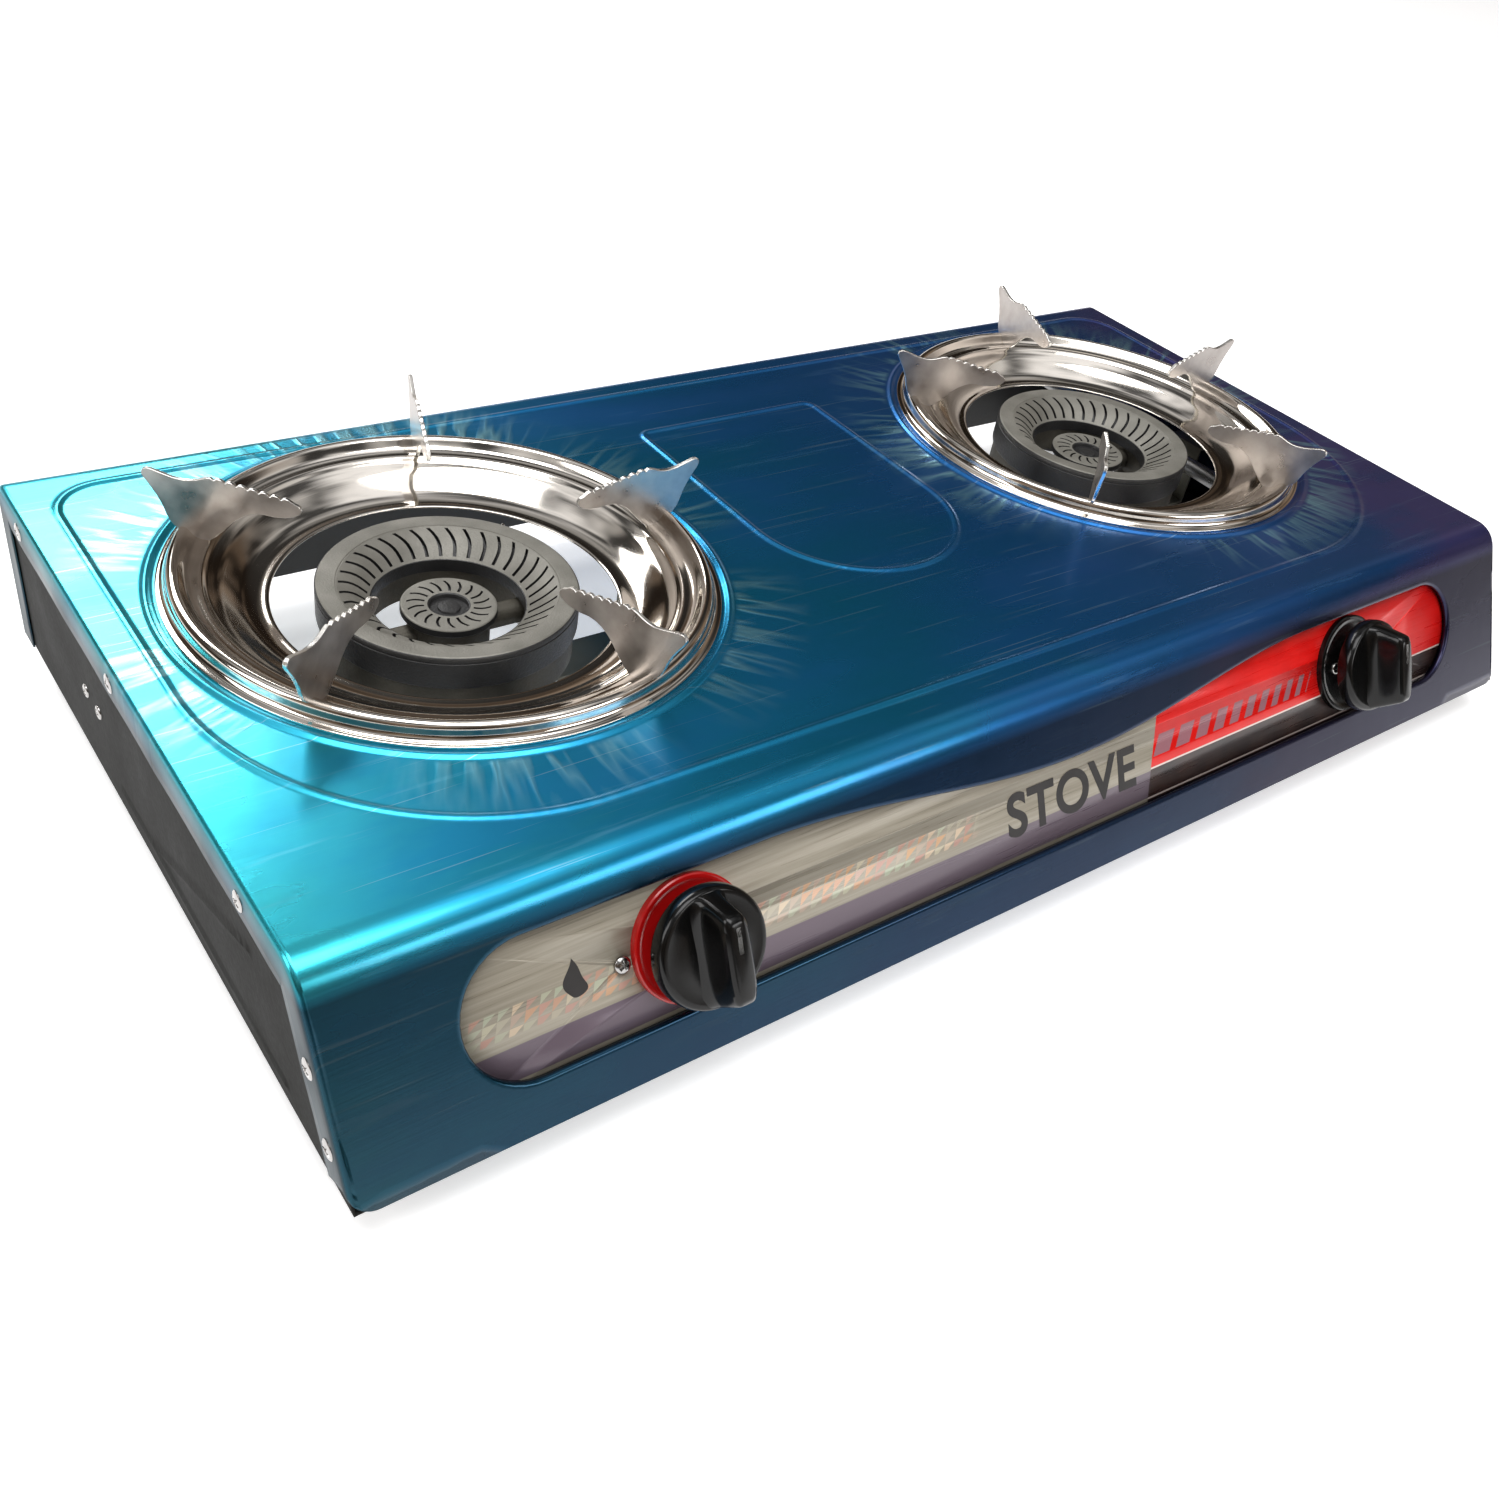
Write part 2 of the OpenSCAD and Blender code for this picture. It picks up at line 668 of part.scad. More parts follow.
module knob(side) {
    color("black") at_knob(side) difference() {
        union() {
            rotate_extrude() polygon([[0, knob_low], [knob_r - 0.5, knob_low], [knob_r, knob_low + 1],
                [knob_r, skirt_top - 4], [knob_r - 1, skirt_top - 1.5], [knob_r - 4, skirt_top],
                [0, skirt_top]]);
            intersection() {
                rotate_extrude() polygon([[0, skirt_top - 1], [knob_r - 2, skirt_top - 1],
                    [grip_r + 2, knob_h - 3], [grip_r, knob_h], [0, knob_h]]);
                translate([-grip_w / 2, -knob_r, 0]) cube([grip_w, 2 * knob_r, knob_h + 1]);
            }
        }
        difference() {
            rod(stem_r + 0.05, knob_low - 1, stem_top + 0.5);
            translate([-10, stem_r - stem_flat + 0.05, 0]) cube([20, 5, 40]);
        }
    }
}

module knob_bezel(side) {
    color(side > 0 ? "black" : "red") at_knob(side) difference() {
        union() {
            ring(bezel_r, 9, label_z, bezel_plate);
            ring(bezel_r, bezel_r - 2.5, label_z, bezel_top);
        }
        valve_screw_holes(side);
    }
}

// Each valve has one screw through the label plate and one through the bezel
module valve_screws() {
    color("silver") for (side = [-1, 1]) at_knob(side) {
        translate([side * valve_screw_x, 0, label_z]) pan_screw(3.4, 2, 1.75, 7);
        translate([-side * bezel_screw_x, 0, bezel_plate]) pan_screw(3, 1.8, 1.5, 7);
    }
}

module valve_screw_holes(side) {
    translate([side * valve_screw_x, 0, 0]) rod(screw_hole_r, -20, 5);
    translate([-side * bezel_screw_x, 0, 0]) rod(screw_hole_r, flange_back - 1.5, 5);
}

module gas_rail() {
    color("silver") placed() {
        difference() {
            union() {
                translate([rail_left_x, rail_y, rail_z]) rotate([0, 90, 0])
                    cylinder(r = rail_r, h = inlet_x - rail_left_x);
                translate([inlet_x, rail_y, rail_z]) translate(-elbow_w / 2 * [1, 1, 1]) cube(elbow_w);
                translate([inlet_x, 0, rail_z]) rod_y(rail_r, rail_y, back_y - 12);
            }
            translate([rail_left_x + 4, rail_y, rail_z]) rotate([0, 90, 0])
                cylinder(r = rail_r - 1, h = inlet_x - rail_left_x - 4);
            translate([inlet_x, 0, rail_z]) rod_y(rail_r - 1.2, rail_y + 2, back_y);
        }
    }
}

// Barbed tail for the gas hose, through the back panel
module hose_inlet() {
    barb_pitch = 5;
    color("gold") placed() translate([inlet_x, back_y, rail_z]) difference() {
        union() {
            rotate([-90, 0, 0]) rotate_extrude() polygon(concat(
                [[0, -12], [8, -12], [8, -sheet * 2], [6, -sheet * 2], [6, 10], [inlet_r, 10]],
                [[inlet_r, 10 + inlet_land], [inlet_r - 0.9, 11 + inlet_land]],
                [for (i = [1:2]) each [[inlet_r, 14 + i * barb_pitch - inlet_land / 2],
                    [inlet_r - 0.9, 15 + i * barb_pitch - inlet_land / 2]]],
                [[inlet_r - 1.2, inlet_len], [0, inlet_len]]));
        }
        rod_y(3, -13, inlet_len + 1);
    }
}

module inlet_nut() {
    color("gold") placed() translate([inlet_x, back_y, rail_z]) difference() {
        translate([0, -sheet, 0]) rotate([-90, 0, 0]) cylinder(r = 10.5, h = 6, $fn = 6);
        rod_y(6.02, -2, 8);
    }
}

module piezo_igniters() {
    color("black") for (side = [-1, 1]) at_knob(side) translate([igniter_x, 0, 0])
        rod(igniter_r, igniter_back, igniter_front);
}

module at_electrode(side) {
    at_burner(side) rotate(electrode_angle) translate([electrode_r, 0, 0]) children();
}

module electrode_insulators() {
    color("white") for (side = [-1, 1]) at_electrode(side) {
        ring(insulator_r, 0.8, 40, 68);
        ring(insulator_r + 1.5, insulator_r - eps, tab_low + tab_t, tab_low + tab_t + 3);
    }
}

module electrode_rods() {
    color("silver") for (side = [-1, 1]) at_electrode(side) {
        rod(0.75, 38, 71);
        translate([0.5, 0, 71]) rotate([0, -90, 0]) cylinder(r = 0.75, h = 4);
    }
}

function electrode_at(side) = [
    side * burner_x + electrode_r * cos(electrode_angle),
    burner_y + electrode_r * sin(electrode_angle), 38];
function igniter_end(side) =
    [side * knob_x + igniter_x, knob_axis_y - igniter_back * cos(lean),
        knob_up * cos(lean) + igniter_back * sin(lean)];

// Each lead runs back from its igniter, past the burner's outside, and up to its electrode
function lead_route(side) =
    let (a = igniter_end(side), b = electrode_at(side), x = side * burner_x + 68)
    [a, a + 3 * [0, cos(lean), -sin(lean)], a + [8, 4, -4], a + [16, 6, -10], [a[0] + 24, -134, 12],
        [x - 8, -110, 9], [x, -80, 8], [x, -30, 8],
        [x, 20, 8], [x - 4, 48, 12], [b[0], b[1], 24], b];

module ignition_leads() {
    color("white") placed() for (side = [-1, 1]) swept(lead_route(side), 1.2, 8);
}

top_shell();
side_panel(-1);  // side_panel_left
side_panel(1);  // side_panel_right
back_panel();
label_plate();
panel_rivets();
panel_screws();
foot(-foot_x, foot_front_y);  // foot_front_left
foot(foot_x, foot_front_y);  // foot_front_right
foot(-foot_x, foot_back_y);  // foot_back_left
foot(foot_x, foot_back_y);  // foot_back_right
foot_screws();
drip_pan(-1);  // drip_pan_left
drip_pan(1);  // drip_pan_right
pot_supports(-1);  // pot_supports_left
pot_supports(1);  // pot_supports_right
burner_body(-1);  // burner_body_left
burner_body(1);  // burner_body_right
ring_cap(-1);  // ring_cap_left
ring_cap(1);  // ring_cap_right
centre_cap(-1);  // centre_cap_left
centre_cap(1);  // centre_cap_right
burner_bracket(-1);  // burner_bracket_left
burner_bracket(1);  // burner_bracket_right
bracket_screws();
air_shutter(-1, ring_tube_x);  // air_shutter_ring_left
air_shutter(-1, centre_tube_x);  // air_shutter_centre_left
air_shutter(1, ring_tube_x);  // air_shutter_ring_right
air_shutter(1, centre_tube_x);  // air_shutter_centre_right
gas_injectors();
gas_valve(-1);  // gas_valve_left
gas_valve(1);  // gas_valve_right
valve_plug(-1);  // valve_plug_left
valve_plug(1);  // valve_plug_right
valve_spring(-1);  // valve_spring_left
valve_spring(1);  // valve_spring_right
valve_stem(-1);  // valve_stem_left
valve_stem(1);  // valve_stem_right
knob(-1);  // knob_left
knob(1);  // knob_right
knob_bezel(-1);  // knob_bezel_left
knob_bezel(1);  // knob_bezel_right
valve_screws();
gas_rail();
hose_inlet();
inlet_nut();
piezo_igniters();
electrode_insulators();
electrode_rods();
ignition_leads();
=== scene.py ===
"""A two-burner table-top gas stove: the finished surfaces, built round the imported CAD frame.

Lengths are millimetres in body coordinates: X from the middle of the stove, Y from the middle of the
flat top, Z from the body's bottom edge. `MM` and `ORIGIN` carry them into the row frame, in metres.
"""

import functools
import json
import math
import random

import bmesh
import bpy
from mathutils import Matrix, Quaternion, Vector
from mathutils.geometry import delaunay_2d_cdt

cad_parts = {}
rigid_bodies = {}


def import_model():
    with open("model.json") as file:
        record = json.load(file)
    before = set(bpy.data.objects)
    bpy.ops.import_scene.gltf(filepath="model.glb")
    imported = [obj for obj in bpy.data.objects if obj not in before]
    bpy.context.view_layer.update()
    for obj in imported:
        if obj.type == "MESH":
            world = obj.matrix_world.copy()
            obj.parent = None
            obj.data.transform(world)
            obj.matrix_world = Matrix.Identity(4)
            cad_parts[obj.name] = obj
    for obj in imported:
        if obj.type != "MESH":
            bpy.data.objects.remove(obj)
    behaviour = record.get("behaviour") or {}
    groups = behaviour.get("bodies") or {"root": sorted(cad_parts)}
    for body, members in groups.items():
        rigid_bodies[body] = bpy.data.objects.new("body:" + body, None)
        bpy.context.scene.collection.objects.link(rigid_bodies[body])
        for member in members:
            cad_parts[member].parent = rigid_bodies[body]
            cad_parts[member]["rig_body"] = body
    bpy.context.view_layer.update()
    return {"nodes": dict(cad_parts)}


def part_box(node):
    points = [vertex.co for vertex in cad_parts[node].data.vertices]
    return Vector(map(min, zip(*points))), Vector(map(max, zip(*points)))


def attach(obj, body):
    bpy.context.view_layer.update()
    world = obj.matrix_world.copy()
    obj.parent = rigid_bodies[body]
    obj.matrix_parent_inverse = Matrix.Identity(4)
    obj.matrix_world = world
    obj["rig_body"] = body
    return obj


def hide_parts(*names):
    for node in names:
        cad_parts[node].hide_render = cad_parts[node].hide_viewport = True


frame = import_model()

MM = 0.001
SIDES = (("left", -1), ("right", 1))

# ---------------------------------------------------------------- sizes, taken from the frame
shell_low, shell_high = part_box("top_shell")
HALF_W = shell_high.x / MM
FOOT_H = shell_low.z / MM
pan_low, pan_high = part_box("drip_pan_left")
PAN_R = (pan_high.x - pan_low.x) / 2 / MM
CREST_H = 8.0
TOP_Z = pan_high.z / MM - FOOT_H - CREST_H
TOP_DEPTH = 321.0
BACK_Y = TOP_DEPTH / 2
SHIFT_Y = shell_high.y / MM - BACK_Y
FRONT_LEAN = 41.0
LEAN = math.atan(FRONT_LEAN / TOP_Z)
FOOT_Y = -BACK_Y - FRONT_LEAN
FRONT_BEND = 16.0
BACK_BEND = 8.0
BEND_Y = -BACK_Y + FRONT_BEND * math.tan((math.pi / 2 - LEAN) / 2)
BEND_Z = TOP_Z - FRONT_BEND
BURNER_X = -(pan_low.x + pan_high.x) / 2 / MM
BURNER_Y = (pan_low.y + pan_high.y) / 2 / MM - SHIFT_Y
PAN_TURN = 5.0
KNOB_X = 208.0
KNOB_UP = 46.0
LABEL_SCREW_X = 29
BEZEL_SCREW_X = 12
STEM_HOLE_R, SCREW_HOLE_R = 8.0, 1.8
PANEL_T, PAN_T, FIN_T = 0.85, 0.7, 1.9
FINS = 5
ORIGIN = Vector((0, SHIFT_Y, FOOT_H)) * MM
FRONT = Matrix.Translation(ORIGIN + Vector((0, FOOT_Y, 0)) * MM) @ Matrix.Rotation(math.pi / 2 - LEAN, 4, "X")


def at_burner(side, z=0.0, turn=0.0):
    place = Vector((side * BURNER_X, BURNER_Y, z)) * MM + ORIGIN
    return Matrix.Translation(place) @ Matrix.Rotation(math.radians(turn), 4, "Z")


def at_knob(side):
    return FRONT @ Matrix.Translation(Vector((side * KNOB_X, KNOB_UP, 0)) * MM)


# ---------------------------------------------------------------- node materials
class Paint:
    """A Principled material and short forms for the nodes that feed it."""

    def __init__(self, name, **constants):
        self.material = bpy.data.materials.new(name)
        self.material.use_nodes = True
        self.tree = self.material.node_tree
        self.shader = self.tree.nodes["Principled BSDF"]
        self.set(**constants)
        self.where = self.tree.nodes.new("ShaderNodeTexCoord").outputs["Object"]

    def put(self, socket, value):
        if isinstance(value, bpy.types.NodeSocket):
            self.tree.links.new(value, socket)
        elif isinstance(value, tuple) and len(value) == 3 and socket.type == "RGBA":
            socket.default_value = (*value, 1)
        else:
            socket.default_value = value

    def set(self, **inputs):
        for name, value in inputs.items():
            self.put(self.shader.inputs[name.replace("_", " ")], value)
        return self

    def node(self, kind, settings=(), **inputs):
        made = self.tree.nodes.new("ShaderNode" + kind)
        for name, value in dict(settings).items():
            setattr(made, name, value)
        for name, value in inputs.items():
            self.put(made.inputs[int(name[1:]) if name[0] == "i" and name[1:].isdigit() else name], value)
        return made

    def math(self, operation, a, b=0.0, c=0.0):
        return self.node("Math", {"operation": operation}, i0=a, i1=b, i2=c).outputs[0]

    def product(self, *values):
        return functools.reduce(lambda a, b: self.math("MULTIPLY", a, b), values)

    def total(self, *values):
        return functools.reduce(lambda a, b: self.math("ADD", a, b), values)

    def spread(self, value, low, high, start=0.3, end=0.7):
        """Carries start to low and end to high."""
        return self.node("MapRange", (), i0=value, i1=start, i2=end, i3=low, i4=high).outputs[0]

    def rise(self, value, start, end):
        """0 at start, 1 at end."""
        return self.spread(value, 0.0, 1.0, start, end)

    def between(self, value, low, high, soft=0.0002):
        """1 where the value lies from low to high, with a soft edge."""
        return self.product(self.rise(value, low - soft, low + soft),
                            self.rise(value, high + soft, high - soft))

    def vector(self, x, y, z=0.0):
        return self.node("CombineXYZ", (), X=x, Y=y, Z=z).outputs[0]

    def mix(self, factor, a, b, blend="MIX"):
        made = self.node("Mix", {"data_type": "RGBA", "blend_type": blend})
        self.put(made.inputs[0], factor)
        self.put(made.inputs[6], a)
        self.put(made.inputs[7], b)
        return made.outputs[2]

    def scaled(self, x, y, z, turn=0.0):
        return self.node("Mapping", (), Vector=self.where, Rotation=(0, 0, turn), Scale=(x, y, z)).outputs[0]

    def noise(self, scale, detail=3.0, vector=None, rough=0.5):
        return self.node("TexNoise", (), Vector=vector or self.where, Scale=scale, Detail=detail,
                         Roughness=rough).outputs[0]

    def ramp(self, value, *stops):
        made = self.node("ValToRGB", (), i0=value)
        spots = made.color_ramp.elements
        while len(spots) < len(stops):
            spots.new(0.5)
        for spot, (place, colour) in zip(spots, stops):
            spot.position = place
            spot.color = (*colour, 1)
        return made.outputs[0]

    def parts(self):
        return self.node("SeparateXYZ", (), Vector=self.where).outputs

    def bump(self, height, strength=0.3, distance=0.001):
        made = self.node("Bump", (), Strength=strength, Distance=distance, Height=height)
        self.set(Normal=made.outputs[0])
        return self


def grained(name, colour, roughness, metallic=0.0, scale=400.0, depth=0.15, spread=0.15, worn=0.08, **more):
    """A plain finish: a fine grain, a slow drift of colour and a roughness that follows both."""
    paint = Paint(name, Metallic=metallic, **more)
    drift = paint.noise(scale / 16, 4)
    grain = paint.noise(scale, 3)
    dark = tuple(c * (1 - spread) for c in colour)
    light = tuple(min(1, c * (1 + spread)) for c in colour)
    paint.set(Base_Color=paint.mix(paint.spread(drift, 0, 1), dark, light))
    paint.set(Roughness=paint.spread(paint.total(drift, paint.product(grain, 0.4)),
                                     roughness - worn, roughness + worn, 0.45, 0.95))
    return paint.bump(grain, depth, 0.0004).material


def radial(paint, centre_x, centre_y):
    """Polar coordinates round an upright axis: (radius in metres, angle in turns)."""
    x, y = paint.parts()[:2]
    dx = paint.math("SUBTRACT", x, centre_x)
    dy = paint.math("SUBTRACT", y, centre_y)
    radius = paint.math("SQRT", paint.total(paint.product(dx, dx), paint.product(dy, dy)))
    return radius, paint.math("DIVIDE", paint.math("ARCTAN2", dy, dx), math.tau)


def pan_creases(paint, side):
    """How high the film stands where it is pulled into strokes round one pan."""
    radius, turns = radial(paint, side * BURNER_X * MM, BURNER_Y * MM)
    polar = paint.vector(paint.product(turns, 95), paint.product(radius, 18), float(side))
    creases = paint.math("ABSOLUTE", paint.math("SUBTRACT", paint.noise(1.0, 2, polar, 0.4), 0.5))
    patch = paint.noise(1.0, 1, paint.vector(paint.product(turns, 7), float(side)))
    mask = paint.product(paint.rise(radius, 0.158, 0.124), paint.rise(patch, 0.42, 0.55),
                         paint.rise(radius, 0.1235, 0.126))
    return paint.product(mask, paint.spread(creases, 1, 0, 0.0, 0.1))


def film_material():
    """Sheet steel under a clear blue film, pulled into small creases round the pans; its colour also carries
    painted reflection, painted shade and painted highlights.
    """
    paint = Paint("film_on_steel", Coat_Roughness=0.14, Coat_IOR=1.5)
    x, _, z = paint.parts()
    bend_low, bend_high, flange_start, flange_full = 0.066, 0.0785, 0.3492, 0.3504
    haze = paint.noise(5.5, 5, paint.scaled(1, 2.4, 2.4), 0.6)
    # painted reflection: the film runs from cyan at the left to deep blue at the right and turns bluer on the
    # slope, colour that stands for the surroundings the steel reflects; the haze noise adds random tone
    painted_reflection_and_haze = paint.total(paint.spread(x, 0, 1, -0.35, 0.35), paint.spread(haze, -0.16, 0.16),
                      paint.spread(z, 0.22, 0.0, bend_low, 0.078))
    tint = paint.ramp(painted_reflection_and_haze, (0.0, (0.035, 0.5, 0.6)), (0.25, (0.012, 0.31, 0.56)), (0.55, (0.014, 0.18, 0.5)),
                      (0.85, (0.025, 0.13, 0.42)), (1.0, (0.1, 0.1, 0.34)))
    creases_and_glints = paint.total(*(pan_creases(paint, side) for side in (-1, 1)))
    streaks = paint.spread(paint.noise(3.0, 4, paint.scaled(3, 60, 3, 0.6), 0.7), 0, 1, 0.6, 0.75)
    lines = [paint.noise(2.0, 1, paint.scaled(4, 420, 4, turn)) for turn in (0.25, 1.9, 1.2)]
    scratches = paint.total(*(paint.spread(line, 0, 1, 0.735, 0.76) for line in lines))
    pale = paint.mix(0.55, tint, (0.5, 0.75, 0.85))
    tint = paint.mix(paint.product(streaks, 0.22), tint, pale)
    tint = paint.mix(paint.product(scratches, 0.5), tint, pale)
    # painted highlight: the crease strokes are painted pale cyan-white, as if they catch the light
    tint = paint.mix(paint.product(creases_and_glints, 0.85), tint, (0.42, 0.86, 0.95))
    # painted shade: the slope is darker than the top; the flanges at the sides are dark and dull
    flat = paint.spread(paint.math("ABSOLUTE", x), 1.0, 0.04, flange_start, flange_full)
    shade = paint.product(paint.spread(z, 0.12, 1.0, bend_low, bend_high), flat)
    paint.set(Base_Color=paint.mix(1.0, tint, paint.vector(shade, shade, shade), "MULTIPLY"))
    paint.set(Metallic=paint.product(flat, 0.9), Coat_Weight=paint.product(flat, 0.3),
              Specular_IOR_Level=paint.product(flat, 0.5))
    dull = paint.product(paint.math("SUBTRACT", 1.0, flat), 0.4)
    paint.set(Roughness=paint.total(paint.spread(haze, 0.2, 0.34), paint.product(streaks, 0.08), dull))
    grain = paint.noise(900, 2, paint.scaled(0.04, 1, 1))
    height = paint.total(paint.product(paint.noise(38, 2), 0.9), paint.product(grain, 0.12),
                         paint.product(creases_and_glints, 0.9))
    return paint.bump(height, 0.16, 0.001).material


def label_material():
    """The printed plate: silver on the left, red over black on the right, with bands, bars and a foil
    pattern. Its own X runs across and its own Y up the slope."""
    paint = Paint("label_print", Metallic=0.15, Coat_Weight=0.15, Coat_Roughness=0.15, Specular_IOR_Level=0.3)
    x, y = paint.parts()[:2]
    edge = paint.total(paint.product(y, 0.25), 0.043)
    right = paint.math("GREATER_THAN", x, edge)
    brushed = paint.noise(700, 2, paint.scaled(0.03, 1, 1))
    silver = paint.mix(paint.spread(brushed, 0, 1), (0.25, 0.225, 0.175), (0.35, 0.32, 0.26))
    left_colour = paint.mix(paint.between(y, 0.0205, 0.033), silver, (0.13, 0.1, 0.125))
    left_colour = paint.mix(paint.math("LESS_THAN", y, 0.0205), left_colour, silver)
    # foil pattern: rows of small slanted triangles that change colour
    cell = 0.0055
    u = paint.math("DIVIDE", paint.math("SUBTRACT", x, paint.product(y, 0.35)), cell)
    v = paint.math("DIVIDE", y, cell * 0.8)
    triangle = paint.math("LESS_THAN", paint.math("FRACT", u), paint.math("FRACT", v))
    cells = paint.vector(paint.math("FLOOR", u), paint.math("FLOOR", v))
    spots = paint.node("TexWhiteNoise", {"noise_dimensions": "2D"}, Vector=cells).outputs[0]
    foil = paint.ramp(spots, (0.0, (0.5, 0.3, 0.16)), (0.4, (0.42, 0.24, 0.2)), (0.7, (0.36, 0.4, 0.3)),
                      (1.0, (0.55, 0.42, 0.3)))
    foil_rows = paint.between(y, 0.037, 0.0475)
    foil_runs = paint.total(paint.between(x, -0.298, -0.232, 0.002), paint.between(x, -0.178, -0.062, 0.004))
    foil_mask = paint.product(foil_rows, foil_runs, triangle)
    left_colour = paint.mix(paint.product(foil_mask, 0.9), left_colour, foil)
    red = paint.mix(paint.spread(paint.noise(60, 3), 0, 1), (0.6, 0.005, 0.004), (0.72, 0.008, 0.006))
    dark = paint.mix(paint.spread(paint.noise(90, 2), 0, 1), (0.012, 0.006, 0.006), (0.035, 0.016, 0.012))
    right_colour = paint.mix(paint.math("LESS_THAN", y, 0.0335), red, dark)
    right_colour = paint.mix(paint.between(y, 0.0335, 0.0343, 0.0001), right_colour, (0.7, 0.6, 0.55))
    right_colour = paint.mix(paint.between(y, 0.0198, 0.0206, 0.0001), right_colour, (0.6, 0.52, 0.48))
    # slanted bars that shrink to the right
    run = paint.rise(paint.math("SUBTRACT", x, paint.product(y, 0.5)), 0.034, 0.154)
    count = paint.product(run, paint.total(run, 2.2), 3.15)
    share = paint.spread(run, 0.74, 0.45, 0.0, 1.0)
    bars = paint.product(paint.math("LESS_THAN", paint.math("FRACT", count), share),
                         paint.between(y, 0.039, 0.0488, 0.0001), paint.between(run, 0.001, 0.999, 0.0005))
    right_colour = paint.mix(paint.product(bars, 0.85), right_colour, (0.27, 0.17, 0.2))
    paint.set(Base_Color=paint.mix(right, left_colour, right_colour))
    paint.set(Roughness=paint.spread(brushed, 0.26, 0.38))
    return paint.bump(brushed, 0.05, 0.0003).material


def steel_material(name, colour, roughness, rings, depth):
    """Spun steel: fine rings round the piece's own axis, with faint smears."""
    paint = Paint(name, Metallic=1.0)
    radius, turns = radial(paint, 0.0, 0.0)
    swing = paint.math("SINE", paint.product(turns, math.tau))
    line = paint.vector(paint.product(radius, rings), paint.product(swing, 0.6))
    spun = paint.noise(1.0, 2, line)
    smear = paint.noise(26, 4)
    paint.set(Base_Color=paint.mix(paint.spread(smear, 0, 1), tuple(c * 0.86 for c in colour), colour))
    paint.set(Roughness=paint.total(paint.spread(smear, roughness * 0.6, roughness * 1.3),
                                   paint.product(spun, roughness * 0.25)))
    return paint.bump(spun, depth, 0.0003).material


def fin_material():
    """Pressed steel, slightly brown on its faces."""
    paint = Paint("fin_steel", Metallic=0.9)
    patina = paint.noise(90, 4)
    rubbed = paint.noise(1400, 2)
    paint.set(Base_Color=paint.mix(paint.spread(patina, 0, 1), (0.3, 0.27, 0.25), (0.46, 0.425, 0.4)))
    paint.set(Roughness=paint.spread(patina, 0.26, 0.42))
    return paint.bump(rubbed, 0.12, 0.0003).material


def cast_material(name, dark, light, roughness, metallic):
    """Cast iron: a pitted skin and a cloudy colour."""
    paint = Paint(name, Metallic=metallic)
    cloud = paint.noise(55, 5)
    pits = paint.node("TexVoronoi", (), Vector=paint.where, Scale=900.0).outputs["Distance"]
    skin = paint.noise(1300, 3)
    paint.set(Base_Color=paint.mix(paint.spread(cloud, 0, 1), dark, light))
    paint.set(Roughness=paint.spread(skin, roughness - 0.08, roughness + 0.08))
    height = paint.total(paint.product(pits, 0.5), skin)
    return paint.bump(height, 0.35, 0.0004).material


MATERIALS = {
    "film": film_material(),
    "label": label_material(),
    "pan": steel_material("pan_steel", (0.8, 0.75, 0.68), 0.085, 2500.0, 0.03),
    "fin": fin_material(),
    # painted highlight: the fins' edges, the toothed top among them, are given a much lighter steel than
    # their faces
    "fin_edge": grained("fin_edge_painted_highlight", (0.78, 0.76, 0.72), 0.3, 1.0, 600.0, 0.1, 0.1),
    "cap_top": cast_material("cap_machined", (0.15, 0.145, 0.125), (0.24, 0.232, 0.205), 0.5, 0.35),
    "cap_side": cast_material("cap_black", (0.008, 0.008, 0.009), (0.022, 0.022, 0.022), 0.42, 0.1),
    "burner": cast_material("burner_cast", (0.05, 0.046, 0.036), (0.11, 0.1, 0.078), 0.55, 0.4),
    "side": grained("side_paint", (0.016, 0.016, 0.015), 0.62, 0.0, 500.0, 0.2, 0.2, 0.07,
                    Specular_IOR_Level=0.06),
    "back": grained("back_paint", (0.03, 0.03, 0.029), 0.45, 0.2, 500.0, 0.2),
    "foot": grained("foot_rubber", (0.012, 0.012, 0.012), 0.7, 0.0, 700.0, 0.3),
    "chrome": grained("chrome", (0.42, 0.41, 0.4), 0.2, 1.0, 300.0, 0.04, 0.06, 0.05),
    "bracket": grained("bracket_zinc", (0.13, 0.125, 0.1), 0.42, 0.7, 200.0, 0.1, 0.25, 0.1),
    "shutter": grained("shutter_zinc", (0.5, 0.49, 0.46), 0.35, 1.0, 300.0, 0.1, 0.2),
    "brass": grained("brass", (0.62, 0.44, 0.18), 0.28, 1.0, 350.0, 0.08, 0.18),
    "alloy": grained("valve_alloy", (0.46, 0.46, 0.45), 0.45, 0.9, 420.0, 0.25, 0.18),
    "spring": grained("spring_wire", (0.55, 0.55, 0.54), 0.25, 1.0, 900.0, 0.1),
    "knob": grained("knob_black", (0.003, 0.003, 0.003), 0.17, 0.0, 260.0, 0.02, 0.3, 0.05,
                    Specular_IOR_Level=0.32),
    "mark": grained("knob_mark", (0.72, 0.72, 0.7), 0.45, 0.0, 500.0, 0.05),
    "red": grained("bezel_red", (0.42, 0.005, 0.005), 0.2, 0.0, 260.0, 0.03, 0.2, 0.06, Coat_Weight=0.25,
                   Coat_Roughness=0.06),
    "rail": grained("rail_steel", (0.4, 0.4, 0.4), 0.34, 1.0, 300.0, 0.1, 0.2),
    "igniter": grained("igniter_black", (0.015, 0.015, 0.015), 0.35, 0.0, 400.0, 0.1),
    "ceramic": grained("ceramic_white", (0.78, 0.75, 0.68), 0.3, 0.0, 350.0, 0.06, 0.06, Coat_Weight=0.4),
    "lead": grained("lead_silicone", (0.6, 0.58, 0.54), 0.5, 0.0, 500.0, 0.1, 0.1),
    "ink": grained("label_ink", (0.012, 0.01, 0.01), 0.35, 0.0, 500.0, 0.05, 0.3),
}


# ---------------------------------------------------------------- mesh helpers
def new_object(name, data):
    made = bpy.data.objects.new(name, data)
    bpy.context.scene.collection.objects.link(made)
    return made


